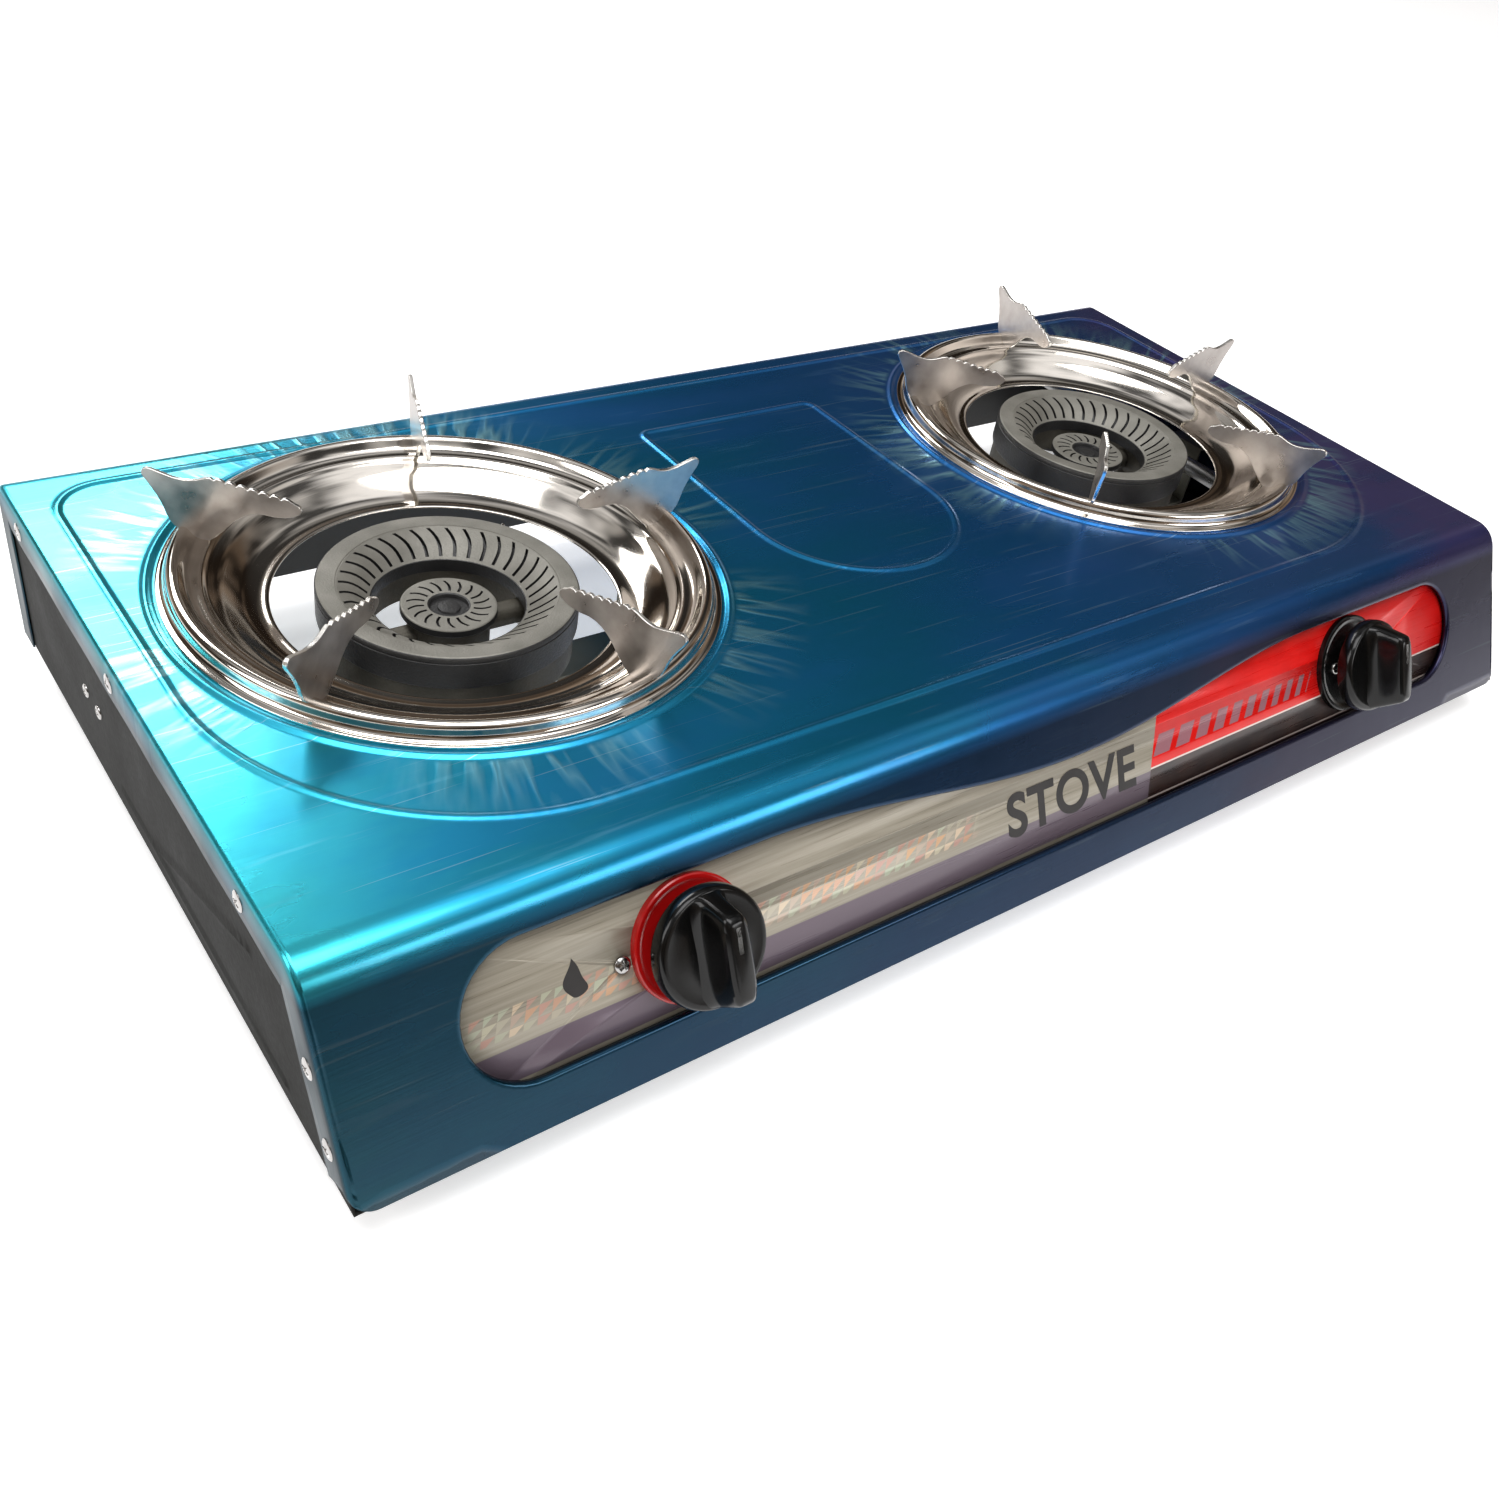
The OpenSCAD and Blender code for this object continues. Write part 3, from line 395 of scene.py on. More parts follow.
def piece(name, verts, faces, body, materials, place=None, replaces=(), sharp=32, extra=(), baked=True,
          facing=None):
    """A mesh piece from points in millimetres. materials is one key, or several with one face list each.
    facing is the side an open sheet's faces should look to."""
    place = place if place is not None else Matrix.Translation(ORIGIN)
    turned = place.to_3x3().to_4x4() if baked else Matrix.Identity(4)
    mesh = bpy.data.meshes.new(name)
    mesh.from_pydata([turned @ (Vector(v) * MM) for v in verts], [], faces)
    keys = [materials] if isinstance(materials, str) else list(materials)
    for key in keys:
        mesh.materials.append(MATERIALS[key])
    for faces_from, index in extra:
        for polygon in mesh.polygons[faces_from:]:
            polygon.material_index = index
    work = bmesh.new()
    work.from_mesh(mesh)
    bmesh.ops.remove_doubles(work, verts=work.verts, dist=0.00002)
    bmesh.ops.dissolve_degenerate(work, edges=work.edges, dist=0.00001)
    bmesh.ops.recalc_face_normals(work, faces=work.faces)
    if facing and sum((f.normal * f.calc_area() for f in work.faces), Vector()).dot(Vector(facing)) < 0:
        bmesh.ops.reverse_faces(work, faces=work.faces)
    for face in work.faces:
        face.smooth = True
    work.to_mesh(mesh)
    work.free()
    mesh.set_sharp_from_angle(angle=math.radians(sharp))
    made = new_object(name, mesh)
    made.matrix_world = Matrix.Translation(place.translation) if baked else place
    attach(made, body)
    if replaces:
        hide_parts(*replaces)
    return made


def modify(made, kind, **settings):
    modifier = made.modifiers.new(kind.lower(), kind)
    for name, value in settings.items():
        setattr(modifier, name, value)


def bevel(made, width, segments, angle):
    modify(made, "BEVEL", width=width * MM, segments=segments, limit_method="ANGLE",
           angle_limit=math.radians(angle), harden_normals=False)


def refined(node, key, width):
    """A copy of a CAD node with its edges broken by a small bevel and a better finish."""
    source = frame["nodes"][node]
    mesh = source.data.copy()
    mesh.materials.clear()
    mesh.materials.append(MATERIALS[key])
    work = bmesh.new()
    work.from_mesh(mesh)
    bmesh.ops.remove_doubles(work, verts=work.verts, dist=0.00001)
    bmesh.ops.dissolve_limit(work, angle_limit=math.radians(1), verts=work.verts, edges=work.edges)
    work.to_mesh(mesh)
    work.free()
    mesh.shade_smooth()
    mesh.set_sharp_from_angle(angle=math.radians(30))
    made = new_object(node + "_finish", mesh)
    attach(made, source["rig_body"])
    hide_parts(node)
    if width:
        bevel(made, width, 2, 40)


def arc(cx, cy, r, start, end, count):
    """Points on an arc, angles in degrees, both ends included."""
    return [(cx + r * math.cos(math.radians(start + (end - start) * i / count)),
             cy + r * math.sin(math.radians(start + (end - start) * i / count))) for i in range(count + 1)]


def on_circle(r, k, count, z=0):
    """Point k of count round a circle at height z."""
    angle = math.tau * k / count
    return r * math.cos(angle), r * math.sin(angle), z


def revolve(profile, steps=96, closed=True):
    """A profile of (radius, height) turned about Z."""
    verts = [on_circle(r, k, steps, z) for k in range(steps) for r, z in profile]
    count = len(profile)
    last = count if closed else count - 1
    faces = [(k * count + i, ((k + 1) % steps) * count + i, ((k + 1) % steps) * count + (i + 1) % count,
              k * count + (i + 1) % count) for k in range(steps) for i in range(last)]
    return verts, faces


def loft(rings, capped=True, closed=True):
    """Quads between rings that have the same number of points."""
    count = len(rings[0])
    verts = [point for ring in rings for point in ring]
    last = count if closed else count - 1
    faces = []
    for start in range(0, (len(rings) - 1) * count, count):
        for i in range(last):
            a, b = start + i, start + (i + 1) % count
            faces.append((a, b, b + count, a + count))
    if capped:
        faces.append(tuple(range(count))[::-1])
        faces.append(tuple(range((len(rings) - 1) * count, len(rings) * count)))
    return verts, faces


def tube(path, radius, sides=10):
    """A round section carried along points in space."""
    points = [Vector(p) for p in path]
    rings = []
    normal = None
    for i, point in enumerate(points):
        heading = (points[min(i + 1, len(points) - 1)] - points[max(i - 1, 0)]).normalized()
        if normal is None:
            normal = heading.orthogonal().normalized()
        normal = (normal - heading * normal.dot(heading)).normalized()
        other = heading.cross(normal)
        rings.append([point + radius * (math.cos(math.tau * k / sides) * normal +
                                        math.sin(math.tau * k / sides) * other) for k in range(sides)])
    return loft(rings)


def smooth_path(points, steps=8):
    """A Catmull-Rom curve through the points."""
    pts = [Vector(p) for p in points]
    out = []
    for i in range(len(pts) - 1):
        a, b, c, d = pts[max(i - 1, 0)], pts[i], pts[i + 1], pts[min(i + 2, len(pts) - 1)]
        for k in range(steps):
            t = k / steps
            out.append(0.5 * (2 * b + (c - a) * t + (2 * a - 5 * b + 4 * c - d) * t * t +
                              (3 * b - a - 3 * c + d) * t ** 3))
    return out + [pts[-1]]


def merged(*meshes):
    verts, faces, starts = [], [], []
    for v, f in meshes:
        starts.append(len(faces))
        faces += [tuple(i + len(verts) for i in face) for face in f]
        verts += list(v)
    return verts, faces, starts


# ---------------------------------------------------------------- the top shell
ARC_FRONT = math.radians(90) - LEAN
S_ARC_END = BEND_Y - FRONT_BEND * ARC_FRONT
ARC_END_Z = BEND_Z + FRONT_BEND * math.cos(ARC_FRONT)
FLAT_SLOPE = ARC_END_Z / math.cos(LEAN)
S_BOTTOM = S_ARC_END - FLAT_SLOPE
BACK_FLAT = BACK_Y - BACK_BEND
S_BACK_ARC = BACK_FLAT + BACK_BEND * math.pi / 2
S_BACK_LOW = S_BACK_ARC + TOP_Z - BACK_BEND
FLANGE = 16.0
SHEET = 0.8
SIDE_BEND = 2.5
SIDE_FLAT = HALF_W - SIDE_BEND
CORNER_R = 10.0
NOTCH_X = HALF_W - FLANGE
NOTCH_S = S_BACK_ARC + (FLANGE - BACK_BEND)
PAN_CUT_R = 108.0
WINDOW_W, WINDOW_LOW, WINDOW_HIGH = 602.0, 19.0, 72.0
WINDOW_SAG, SAG_W = 16.5, 350.0
LIP = 3.5


def outline(s):
    """Point (y, z) and outward normal (y, z) where the sheet has run s along its section."""
    if s < S_ARC_END:
        down = S_ARC_END - s
        normal = (-math.cos(LEAN), math.sin(LEAN))
        y = BEND_Y - FRONT_BEND * math.cos(LEAN) - down * math.sin(LEAN)
        return (y, ARC_END_Z - down * math.cos(LEAN)), normal
    if s < BEND_Y:
        turn = (BEND_Y - s) / FRONT_BEND
        normal = (-math.sin(turn), math.cos(turn))
        return (BEND_Y + FRONT_BEND * normal[0], BEND_Z + FRONT_BEND * normal[1]), normal
    if s <= BACK_FLAT:
        return (s, TOP_Z), (0.0, 1.0)
    if s < S_BACK_ARC:
        turn = (s - BACK_FLAT) / BACK_BEND
        normal = (math.sin(turn), math.cos(turn))
        return (BACK_FLAT + BACK_BEND * normal[0], TOP_Z - BACK_BEND + BACK_BEND * normal[1]), normal
    return (BACK_Y, TOP_Z - BACK_BEND - (s - S_BACK_ARC)), (1.0, 0.0)


def flange_edge(s):
    """Where the side flange ends, seen from the side."""
    (y, z), normal = outline(s)
    if s < BEND_Y:
        return y - FLANGE * normal[0], z - FLANGE * normal[1]
    return min(y, BACK_Y - FLANGE), min(z, TOP_Z - FLANGE)


def sag(x):
    return WINDOW_SAG * (1 + math.cos(math.tau * x / SAG_W)) / 2 if abs(x) < SAG_W / 2 else 0.0


def window_loop(grow):
    """The front window's outline as (x, distance up the slope)."""
    r = (WINDOW_HIGH - WINDOW_LOW) / 2
    cx, cy, count = WINDOW_W / 2 - r, WINDOW_LOW + r, 48
    top = [(SAG_W / 2 - SAG_W * i / count, WINDOW_HIGH + grow - sag(SAG_W / 2 - SAG_W * i / count))
           for i in range(1, count)]
    low = [(-cx + 2 * cx * i / 60, WINDOW_LOW - grow) for i in range(1, 60)]
    return arc(cx, cy, r + grow, -90, 90, 20) + top + arc(-cx, cy, r + grow, 90, 270, 20) + low


def rounded_loop(half_x, high, low, high_r, low_r, grow):
    """A loop on the top with rounded corners, moved outwards by grow."""
    return (arc(half_x - high_r, high - high_r, high_r + grow, 0, 90, 10) +
            arc(-half_x + high_r, high - high_r, high_r + grow, 90, 180, 10) +
            arc(-half_x + low_r, low + low_r, low_r + grow, 180, 270, 28) +
            arc(half_x - low_r, low + low_r, low_r + grow, 270, 360, 28))


CONTOUR = (335.0, 143.0, -135.0, 23.0, 118.0)
SHIELD = (56.0, 101.0, -58.0, 6.0, 56.0)
LINE_HALF = 2.6
LINE_H = 0.8
RING_R, RING_HALF, RING_H = 121.2, 2.6, 1.3


def loop_distance(x, y, shape):
    """Signed distance of a point from a rounded loop's centre line."""
    half_x, high, low, high_r, low_r = shape
    r = high_r if y > high - high_r else low_r if y < low + low_r else 0.0
    top, bottom = high - r, low + r
    dx = abs(x) - (half_x - r)
    dy = max(y - top, bottom - y)
    if r and dx > 0 and dy > 0:
        return math.hypot(dx, dy) - r
    if r:
        return max(dx, dy) - r
    return max(abs(x) - half_x, max(y - high, low - y))


def raised(distance, half, height):
    t = abs(distance) / half
    return height * (1 + math.cos(math.pi * t)) / 2 if t < 1 else 0.0


def relief(x, s):
    """How far the stamped lines stand above the top."""
    if not BEND_Y < s < BACK_FLAT:
        return 0.0
    rings = [raised(math.hypot(x - side * BURNER_X, s - BURNER_Y) - RING_R, RING_HALF, RING_H)
             for side in (-1, 1)]
    return max(raised(loop_distance(x, s, CONTOUR), LINE_HALF, LINE_H),
               raised(loop_distance(x, s, SHIELD), LINE_HALF, LINE_H), *rings)


def shell_point(x, s):
    (y, z), (ny, nz) = outline(s)
    lift = relief(x, s)
    return x, y + ny * lift, z + nz * lift


def top_shell():
    bend_rows = [S_ARC_END + (BEND_Y - S_ARC_END) * i / 8 for i in range(9)]
    back_rows = [BACK_FLAT + (S_BACK_ARC - BACK_FLAT) * i / 5 for i in range(6)]
    corner_low = CORNER_R - math.sqrt(CORNER_R ** 2 - (CORNER_R - SIDE_BEND) ** 2)
    corner_s = [S_BOTTOM + d for d in (corner_low, 4.5, 6, 8, CORNER_R)]
    edge_s = sorted(set(corner_s + [S_BOTTOM + 12 + 9 * i for i in range(7)] + bend_rows +
                        [BEND_Y + (BACK_FLAT - BEND_Y) * i / 32 for i in range(33)] + back_rows +
                        [NOTCH_S + (S_BACK_LOW - NOTCH_S) * i / 6 for i in range(7)]))
    points, edges = [], []

    def add(loop, closed=True):
        first = len(points)
        points.extend(Vector(p) for p in loop)
        count = len(loop)
        edges.extend((first + i, first + (i + 1) % count) for i in range(count if closed else count - 1))

    columns = [-SIDE_FLAT + 2 * SIDE_FLAT * i / 58 for i in range(59)]
    for sign in (-1, 1):
        add([(sign * SIDE_FLAT, s) for s in edge_s], False)
        add([(sign * (SIDE_FLAT - 1), s) for s in edge_s if s > S_BOTTOM + 3], False)
        add([(sign * NOTCH_X, NOTCH_S), (sign * NOTCH_X, S_BACK_LOW), (sign * SIDE_FLAT, S_BACK_LOW)], False)
        corner = arc(HALF_W - CORNER_R, CORNER_R, CORNER_R, -90, -41.4, 6)
        add([(sign * x, S_BOTTOM + y) for x, y in corner], False)
    for s in bend_rows + back_rows + [BEND_Y + 1, S_ARC_END - 1, BACK_FLAT - 1]:
        add([(x, s) for x in columns], False)
    add([(x, NOTCH_S) for x in columns if abs(x) < NOTCH_X], False)
    bottom_x = [-(HALF_W - CORNER_R) + 2 * (HALF_W - CORNER_R) * i / 56 for i in range(57)]
    add([(x, S_BOTTOM) for x in bottom_x], False)
    for side in (-1, 1):
        add(arc(side * BURNER_X, BURNER_Y, PAN_CUT_R, 0, 360, 180)[:-1])
        for grow in (-3.2, -2.6, -1.7, -0.8, 0, 0.8, 1.7, 2.6, 3.2):
            add(arc(side * BURNER_X, BURNER_Y, RING_R + grow, 0, 360, 180)[:-1])
    for shape in (CONTOUR, SHIELD):
        for grow in (-3.3, -2.6, -1.7, -0.8, 0, 0.8, 1.7, 2.6, 3.3):
            add(rounded_loop(*shape, grow))
    for grow in (1.5, 2.3):
        add([(x, S_BOTTOM + d) for x, d in window_loop(grow)])
    for i in range(57):
        for j in range(24):
            points.append(Vector((-336 + 12 * i, BEND_Y + 6 + 12.3 * j)))
    for i in range(58):
        for d in (6.0, 14.0):
            points.append(Vector((-338 + 11.8 * i, S_BOTTOM + d)))

    flat, _, triangles, _, _, _ = delaunay_2d_cdt(points, edges, [], 0, 1e-4)
    window = [Vector(p) for p in window_loop(1.5)]

    def in_window(x, d):
        inside = False
        for (x1, y1), (x2, y2) in zip(window, window[1:] + window[:1]):
            if (y1 > d) != (y2 > d) and x < (x2 - x1) * (d - y1) / (y2 - y1) + x1:
                inside = not inside
        return inside

    def wanted(x, s):
        d = s - S_BOTTOM
        if math.hypot(abs(x) - BURNER_X, s - BURNER_Y) < PAN_CUT_R - 0.05:
            return False
        if s > NOTCH_S and abs(x) < NOTCH_X:
            return False
        if abs(x) > HALF_W - CORNER_R and d < CORNER_R:
            if math.hypot(abs(x) - HALF_W + CORNER_R, d - CORNER_R) > CORNER_R:
                return False
        return not (0 < d < FLAT_SLOPE and in_window(x, d))

    verts = [shell_point(p.x, p.y) for p in flat]
    faces = [tri for tri in triangles
             if wanted(sum(flat[i].x for i in tri) / 3, sum(flat[i].y for i in tri) / 3)]

    def grid(rows):
        first = len(verts)
        count = len(rows[0])
        for row in rows:
            verts.extend(row)
        for j in range(len(rows) - 1):
            for i in range(count - 1):
                a = first + j * count + i
                faces.append((a, a + 1, a + 1 + count, a + count))

    # side bends and flanges
    for sign in (-1, 1):
        rows = []
        for k in range(7):
            turn = math.radians(15 * k)
            x = SIDE_FLAT + SIDE_BEND * math.sin(turn)
            start = S_BOTTOM + CORNER_R - math.sqrt(max(0.0, CORNER_R ** 2 - (x - HALF_W + CORNER_R) ** 2))
            row = []
            for s in edge_s:
                (y, z), (ny, nz) = outline(max(s, start))
                sink = SIDE_BEND * (1 - math.cos(turn))
                row.append((sign * x, y - ny * sink, z - nz * sink))
            rows.append(row)
        for k in range(1, 5):
            row = []
            for s in edge_s:
                s = max(s, S_BOTTOM + CORNER_R)
                (y, z), (ny, nz) = outline(s)
                y, z = y - ny * SIDE_BEND, z - nz * SIDE_BEND
                end_y, end_z = flange_edge(s)
                t = k / 4
                wave = 0.35 * math.sin(s / 17 + sign) * math.sin(math.pi * t / 1.6)
                row.append((sign * (HALF_W - abs(wave) * 0.7), y + (end_y - y) * t, z + (end_z - z) * t))
            rows.append(row)
        grid(rows)
    # the window's rolled lip
    fold = 1.5
    rows = []
    for k in range(5):
        turn = math.radians(22.5 * k)
        loop = window_loop(fold * (1 - math.sin(turn)))
        rows.append([(x, d, -fold * (1 - math.cos(turn))) for x, d in loop + loop[:1]])
    rows.append([(x, d, -LIP + 0.4) for x, d in window_loop(0.0) + window_loop(0.0)[:1]])
    slope = Matrix.Translation((0, FOOT_Y, 0)) @ Matrix.Rotation(math.pi / 2 - LEAN, 4, "X")
    grid([[tuple(slope @ Vector(p)) for p in row] for row in rows])
    # the lip folded in along the bottom of the front
    runs = [x for x in bottom_x if abs(x) < 311]
    base = [(x, *outline(S_BOTTOM)[0]) for x in runs]
    grid([base, [(x, y + 0.5, 0.05) for x, y, z in base], [(x, y + 8.6, 0.05) for x, y, z in base]])
    made = piece("film_shell", verts, faces, "stove_body", "film", replaces=["top_shell"],
                 sharp=50, facing=(0, 0, 1))
    modify(made, "SOLIDIFY", thickness=SHEET * MM, offset=-1.0, use_even_offset=True, thickness_clamp=0.6)


top_shell()


# ---------------------------------------------------------------- panels, plate and fasteners
def side_panel(name, side):
    """A flat sheet with a pressed V, seen through the shell's opening, with its bottom edge folded in."""
    inset = 1.2
    x_out = HALF_W - 1
    crease_lines = (((-122.0, 50.0), (-10.0, 9.0)), ((20.0, 10.0), (-147.0, 8.0)))

    def dent(y, z):
        best = 9.0
        for (y1, z1), (y2, z2) in crease_lines:
            run = Vector((y2 - y1, z2 - z1))
            t = min(1.0, max(0.0, Vector((y - y1, z - z1)).dot(run) / run.length_squared))
            gap = math.hypot(y - y1 - run.x * t, z - z1 - run.y * t)
            best = min(best, gap / (2.6 * (0.25 + math.sin(math.pi * min(t, 1 - t) * 1.2 + 0.12))))
        return 0.75 * (1 + math.cos(math.pi * best)) / 2 if best < 1 else 0.0

    rows = []
    count = 40
    for j in range(count + 1):
        z = (TOP_Z - inset) * j / count
        y_front = BEND_Y - (FRONT_BEND - inset - (z - BEND_Z) * math.sin(LEAN)) / math.cos(LEAN)
        if z > BEND_Z:
            rise = min(z - BEND_Z, FRONT_BEND - inset - 0.01)
            y_front = max(y_front, BEND_Y - math.sqrt((FRONT_BEND - inset) ** 2 - rise ** 2))
        y_back = BACK_Y - inset
        if z > TOP_Z - BACK_BEND:
            rise = min(z - TOP_Z + BACK_BEND, BACK_BEND - inset - 0.01)
            y_back = BACK_FLAT + math.sqrt((BACK_BEND - inset) ** 2 - rise ** 2)
        rows.append([(side * (x_out - 0.15 + dent(y_front + (y_back - y_front) * i / 150, z)),
                      y_front + (y_back - y_front) * i / 150, z) for i in range(151)])
    lips = []
    for depth, z in ((0.6, 0.0), (1.6, 0.05), (16.0, 0.05), (31.0, 0.05)):
        lips.append([(side * (x_out - depth), y, z) for _, y, _ in rows[0]])
    verts, faces = loft(lips[::-1] + rows, False, False)
    made = piece(f"side_sheet_{name}", verts, faces, "stove_body", "side",
                 replaces=[f"side_panel_{name}"], sharp=50, facing=(side, 0, 0))
    modify(made, "SOLIDIFY", thickness=PANEL_T * MM, offset=-1.0)


def label_plate():
    """The printed plate behind the window, with holes for the valves."""
    z_top, z_low = -LIP, -LIP - 1
    half, low, high = (WINDOW_W + 20) / 2, 11.0, 78.0
    outer = [(-half, low), (half, low), (half, high), (-half, high)]
    points = [Vector(p) for p in outer]
    edges = [(0, 1), (1, 2), (2, 3), (3, 0)]
    holes = []
    for side in (-1, 1):
        for dx, r in ((0, STEM_HOLE_R), (LABEL_SCREW_X * side, SCREW_HOLE_R),
                      (-BEZEL_SCREW_X * side, SCREW_HOLE_R)):
            holes.append((side * KNOB_X + dx, KNOB_UP, r))
            first = len(points)
            points += [Vector(p) for p in arc(*holes[-1], 0, 360, 32)[:-1]]
            edges += [(first + i, first + (i + 1) % 32) for i in range(32)]
    flat, _, triangles, _, _, _ = delaunay_2d_cdt(points, edges, [], 0, 1e-4)
    keep = []
    for tri in triangles:
        cx, cy = sum(flat[i].x for i in tri) / 3, sum(flat[i].y for i in tri) / 3
        if all(math.hypot(cx - x, cy - y) > r * 0.98 for x, y, r in holes):
            keep.append(tri)
    made = piece("label_print_plate", [(p.x, p.y, z_top) for p in flat], keep, "stove_body",
                 "label", FRONT, ["label_plate"], baked=False, facing=(0, 0, 1))
    modify(made, "SOLIDIFY", thickness=(z_top - z_low) * MM, offset=-1.0)


def lettering():
    """A plain word for the kind of object, and a plain flame, printed on the plate."""
    curve = bpy.data.curves.new("label_word", "FONT")
    curve.body = "STOVE"
    curve.size = 0.027
    curve.extrude = 0.00004
    curve.offset = 0.0007
    curve.align_x = "CENTER"
    curve.space_character = 1.06
    text = new_object("label_word_text", curve)
    bpy.context.view_layer.update()
    mesh = bpy.data.meshes.new_from_object(text.evaluated_get(bpy.context.evaluated_depsgraph_get()))
    bpy.data.objects.remove(text)
    mesh.materials.clear()
    mesh.materials.append(MATERIALS["ink"])
    made = new_object("label_word", mesh)
    made.matrix_world = FRONT @ Matrix.Translation(Vector((-1.0, 30.0, -3.44)) * MM)
    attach(made, "stove_body")
    flame = []
    for i in range(40):
        t = math.tau * i / 40
        high = (1 - math.cos(t)) / 2
        wide = 6.2 * math.sin(t) * (1 - high) ** 0.75 * (1 + 0.25 * math.sin(3 * t))
        flame.append((wide, 15.0 * high, 0.0))
    rings = [flame, [(x, y, 0.06) for x, y, _ in flame]]
    verts, faces = loft(rings)
    piece("label_flame", verts, faces, "stove_body", "ink",
          FRONT @ Matrix.Translation(Vector((-256.0, 41.0, -LIP)) * MM))


def screw_mesh(head_r, head_h):
    """A domed head with a cross recess, its underside at zero."""
    steps = 48
    rings = [[on_circle(head_r, k, steps) for k in range(steps)]]
    shape = ((1.0, 0.35), (0.96, 0.5), (0.85, 0.72), (0.66, 0.88), (0.5, 0.95), (0.36, 0.98), (0.24, 1.0),
             (0.12, 1.0), (0.0, 1.0))
    for share, height in shape:
        ring = []
        for k in range(steps):
            x, y, _ = on_circle(share, k, steps)
            arm = min(abs(x), abs(y)) < 0.13 and max(abs(x), abs(y)) < 0.56
            ring.append((x * head_r, y * head_r, head_h * (height - (0.5 if arm else 0))))
        rings.append(ring)
    return loft(rings, False)


def fasteners():
    """All the small heads: side rivets, panel screws and valve screws."""
    random.seed(11)

    def front_y(z):
        return BEND_Y - (FRONT_BEND - 8 - (z - BEND_Z) * math.sin(LEAN)) / math.cos(LEAN)

    def group(name, spots, replaced):
        parts = []
        for place, (head_r, head_h) in spots:
            turn = Matrix.Rotation(random.uniform(0, 3), 4, "Z")
            verts, faces = screw_mesh(head_r, head_h)
            parts.append(([place @ turn @ Vector(v) for v in verts], faces))
        verts, faces, _ = merged(*parts)
        piece(name, verts, faces, "stove_body", "chrome", replaces=replaced, sharp=40)

    rivets, panel = [], []
    for side in (-1, 1):
        out = Matrix.Rotation(math.pi / 2 * side, 4, "Y")
        for y, z in ((129, 70), (12, 70), (-117, 70), (front_y(43), 43), (front_y(17), 17)):
            rivets.append((Matrix.Translation((side * (HALF_W - 0.25), y, z)) @ out, (4.0, 1.1)))
        for y in (40, 56):
            panel.append((Matrix.Translation((side * (HALF_W - 1.2), y, 36)) @ out, (3.0, 1.1)))
    group("side_rivet_heads", rivets, ["panel_rivets"])
    group("side_screw_heads", panel, ["panel_screws"])
    to_body = Matrix.Translation(-ORIGIN / MM)
    valve = []
    for side in (-1, 1):
        face = to_body @ Matrix.Scale(1 / MM, 4) @ at_knob(side) @ Matrix.Scale(MM, 4)
        valve.append((face @ Matrix.Translation((side * LABEL_SCREW_X, 0, -LIP)), (3.4, 2.0)))
        valve.append((face @ Matrix.Translation((-side * BEZEL_SCREW_X, 0, -1.5)), (3.0, 1.8)))
    group("valve_screw_heads", valve, ["valve_screws"])


def bezels():
    """The collar round each knob: red on the left; on the right it is black, painted shade for the knob's
    shadow over a red collar.
    """
    ring = [(9.0, -3.5), (9.0, -2.0), (9.5, -1.5), (14, -1.5), (20.5, -1.5), (21.8, -1.2), (22.6, -0.7),
            (23.2, -0.5), (24.3, -0.5), (24.85, -0.9), (25.0, -1.6), (25.0, -3.5)]
    # painted shade: the right collar takes the black knob finish where a red collar lies in the knob's shadow
    for (name, side), key, slot in zip(SIDES, ("red", "knob"), ("bezel_plastic", "knob_plastic")):
        verts, faces = revolve(ring, 128)
        piece("bezel_" + name, verts, faces, "stove_body", key, at_knob(side), ["knob_bezel_" + name])


for panel_side in SIDES:
    side_panel(*panel_side)
label_plate()
lettering()
fasteners()
bezels()


# ---------------------------------------------------------------- knobs
def knob(name, side):
    """A gloss moulding: a deep domed skirt, and a grip bar that runs up the slope and narrows outwards."""
    low, skirt = 6.5, 15.0
    r, grip_r, high, half = 23.5, 16.5, 31.0, 6.5
    profile = [(5.0, low), (r - 1.5, low), (r - 0.4, low + 0.4), (r, low + 1.6), (r, skirt - 4.2)]
    profile += [(r - 1.8 + 1.8 * math.cos(math.radians(a)), skirt - 4.2 + 3.4 * math.sin(math.radians(a)))
                for a in (15, 30, 45, 60, 75, 90)]
    profile += [(r - 3.2, skirt - 0.75), (r - 5.0, skirt - 1.0), (r - 9, skirt - 0.6), (8.0, skirt - 0.2),
                (0.01, skirt)]
    body = revolve(profile, 128, False)
    rings = []
    for t in (0.0, 0.12, 0.3, 0.5, 0.7, 0.84, 0.93, 0.98, 1.0):
        z = skirt - 1.2 + (high - skirt + 1.2) * t
        length = (r - 1.6) + (grip_r - r + 1.6) * t ** 1.15
        width = half * (1 - 0.2 * t)
        shrink = 0.0 if t < 0.9 else 2.0 * (1 - math.cos((t - 0.9) / 0.1 * math.pi / 2))
        flare = 3.2 * max(0.0, 1 - t / 0.22) ** 2
        ring = []
        for k in range(72):
            a = math.tau * k / 72
            c, s = math.cos(a), math.sin(a)
            x = math.copysign(abs(c) ** 0.42, c) * (width + flare - shrink * 0.8)
            y = math.copysign(abs(s) ** 0.62, s) * (length - shrink)
            reach = math.hypot(x, y)
            limit = length - shrink + 0.4
            if reach > limit:
                x, y = x * limit / reach, y * limit / reach
            ring.append((x, y, z))
        rings.append(ring)
    grip = loft(rings)
    line = ((-0.9, 3.0), (0.9, 3.0), (0.9, 13.0), (-0.9, 13.0))
    mark = loft([[(x, y, high + z) for x, y in line] for z in (-0.05, 0.0)])
    verts, faces, starts = merged(body, grip, mark)
    piece("knob_moulding_" + name, verts, faces, "knob_" + name, ("knob", "mark"),
          at_knob(side), ["knob_" + name], sharp=38, extra=[(starts[2], 1)])


for knob_side in SIDES:
    knob(*knob_side)


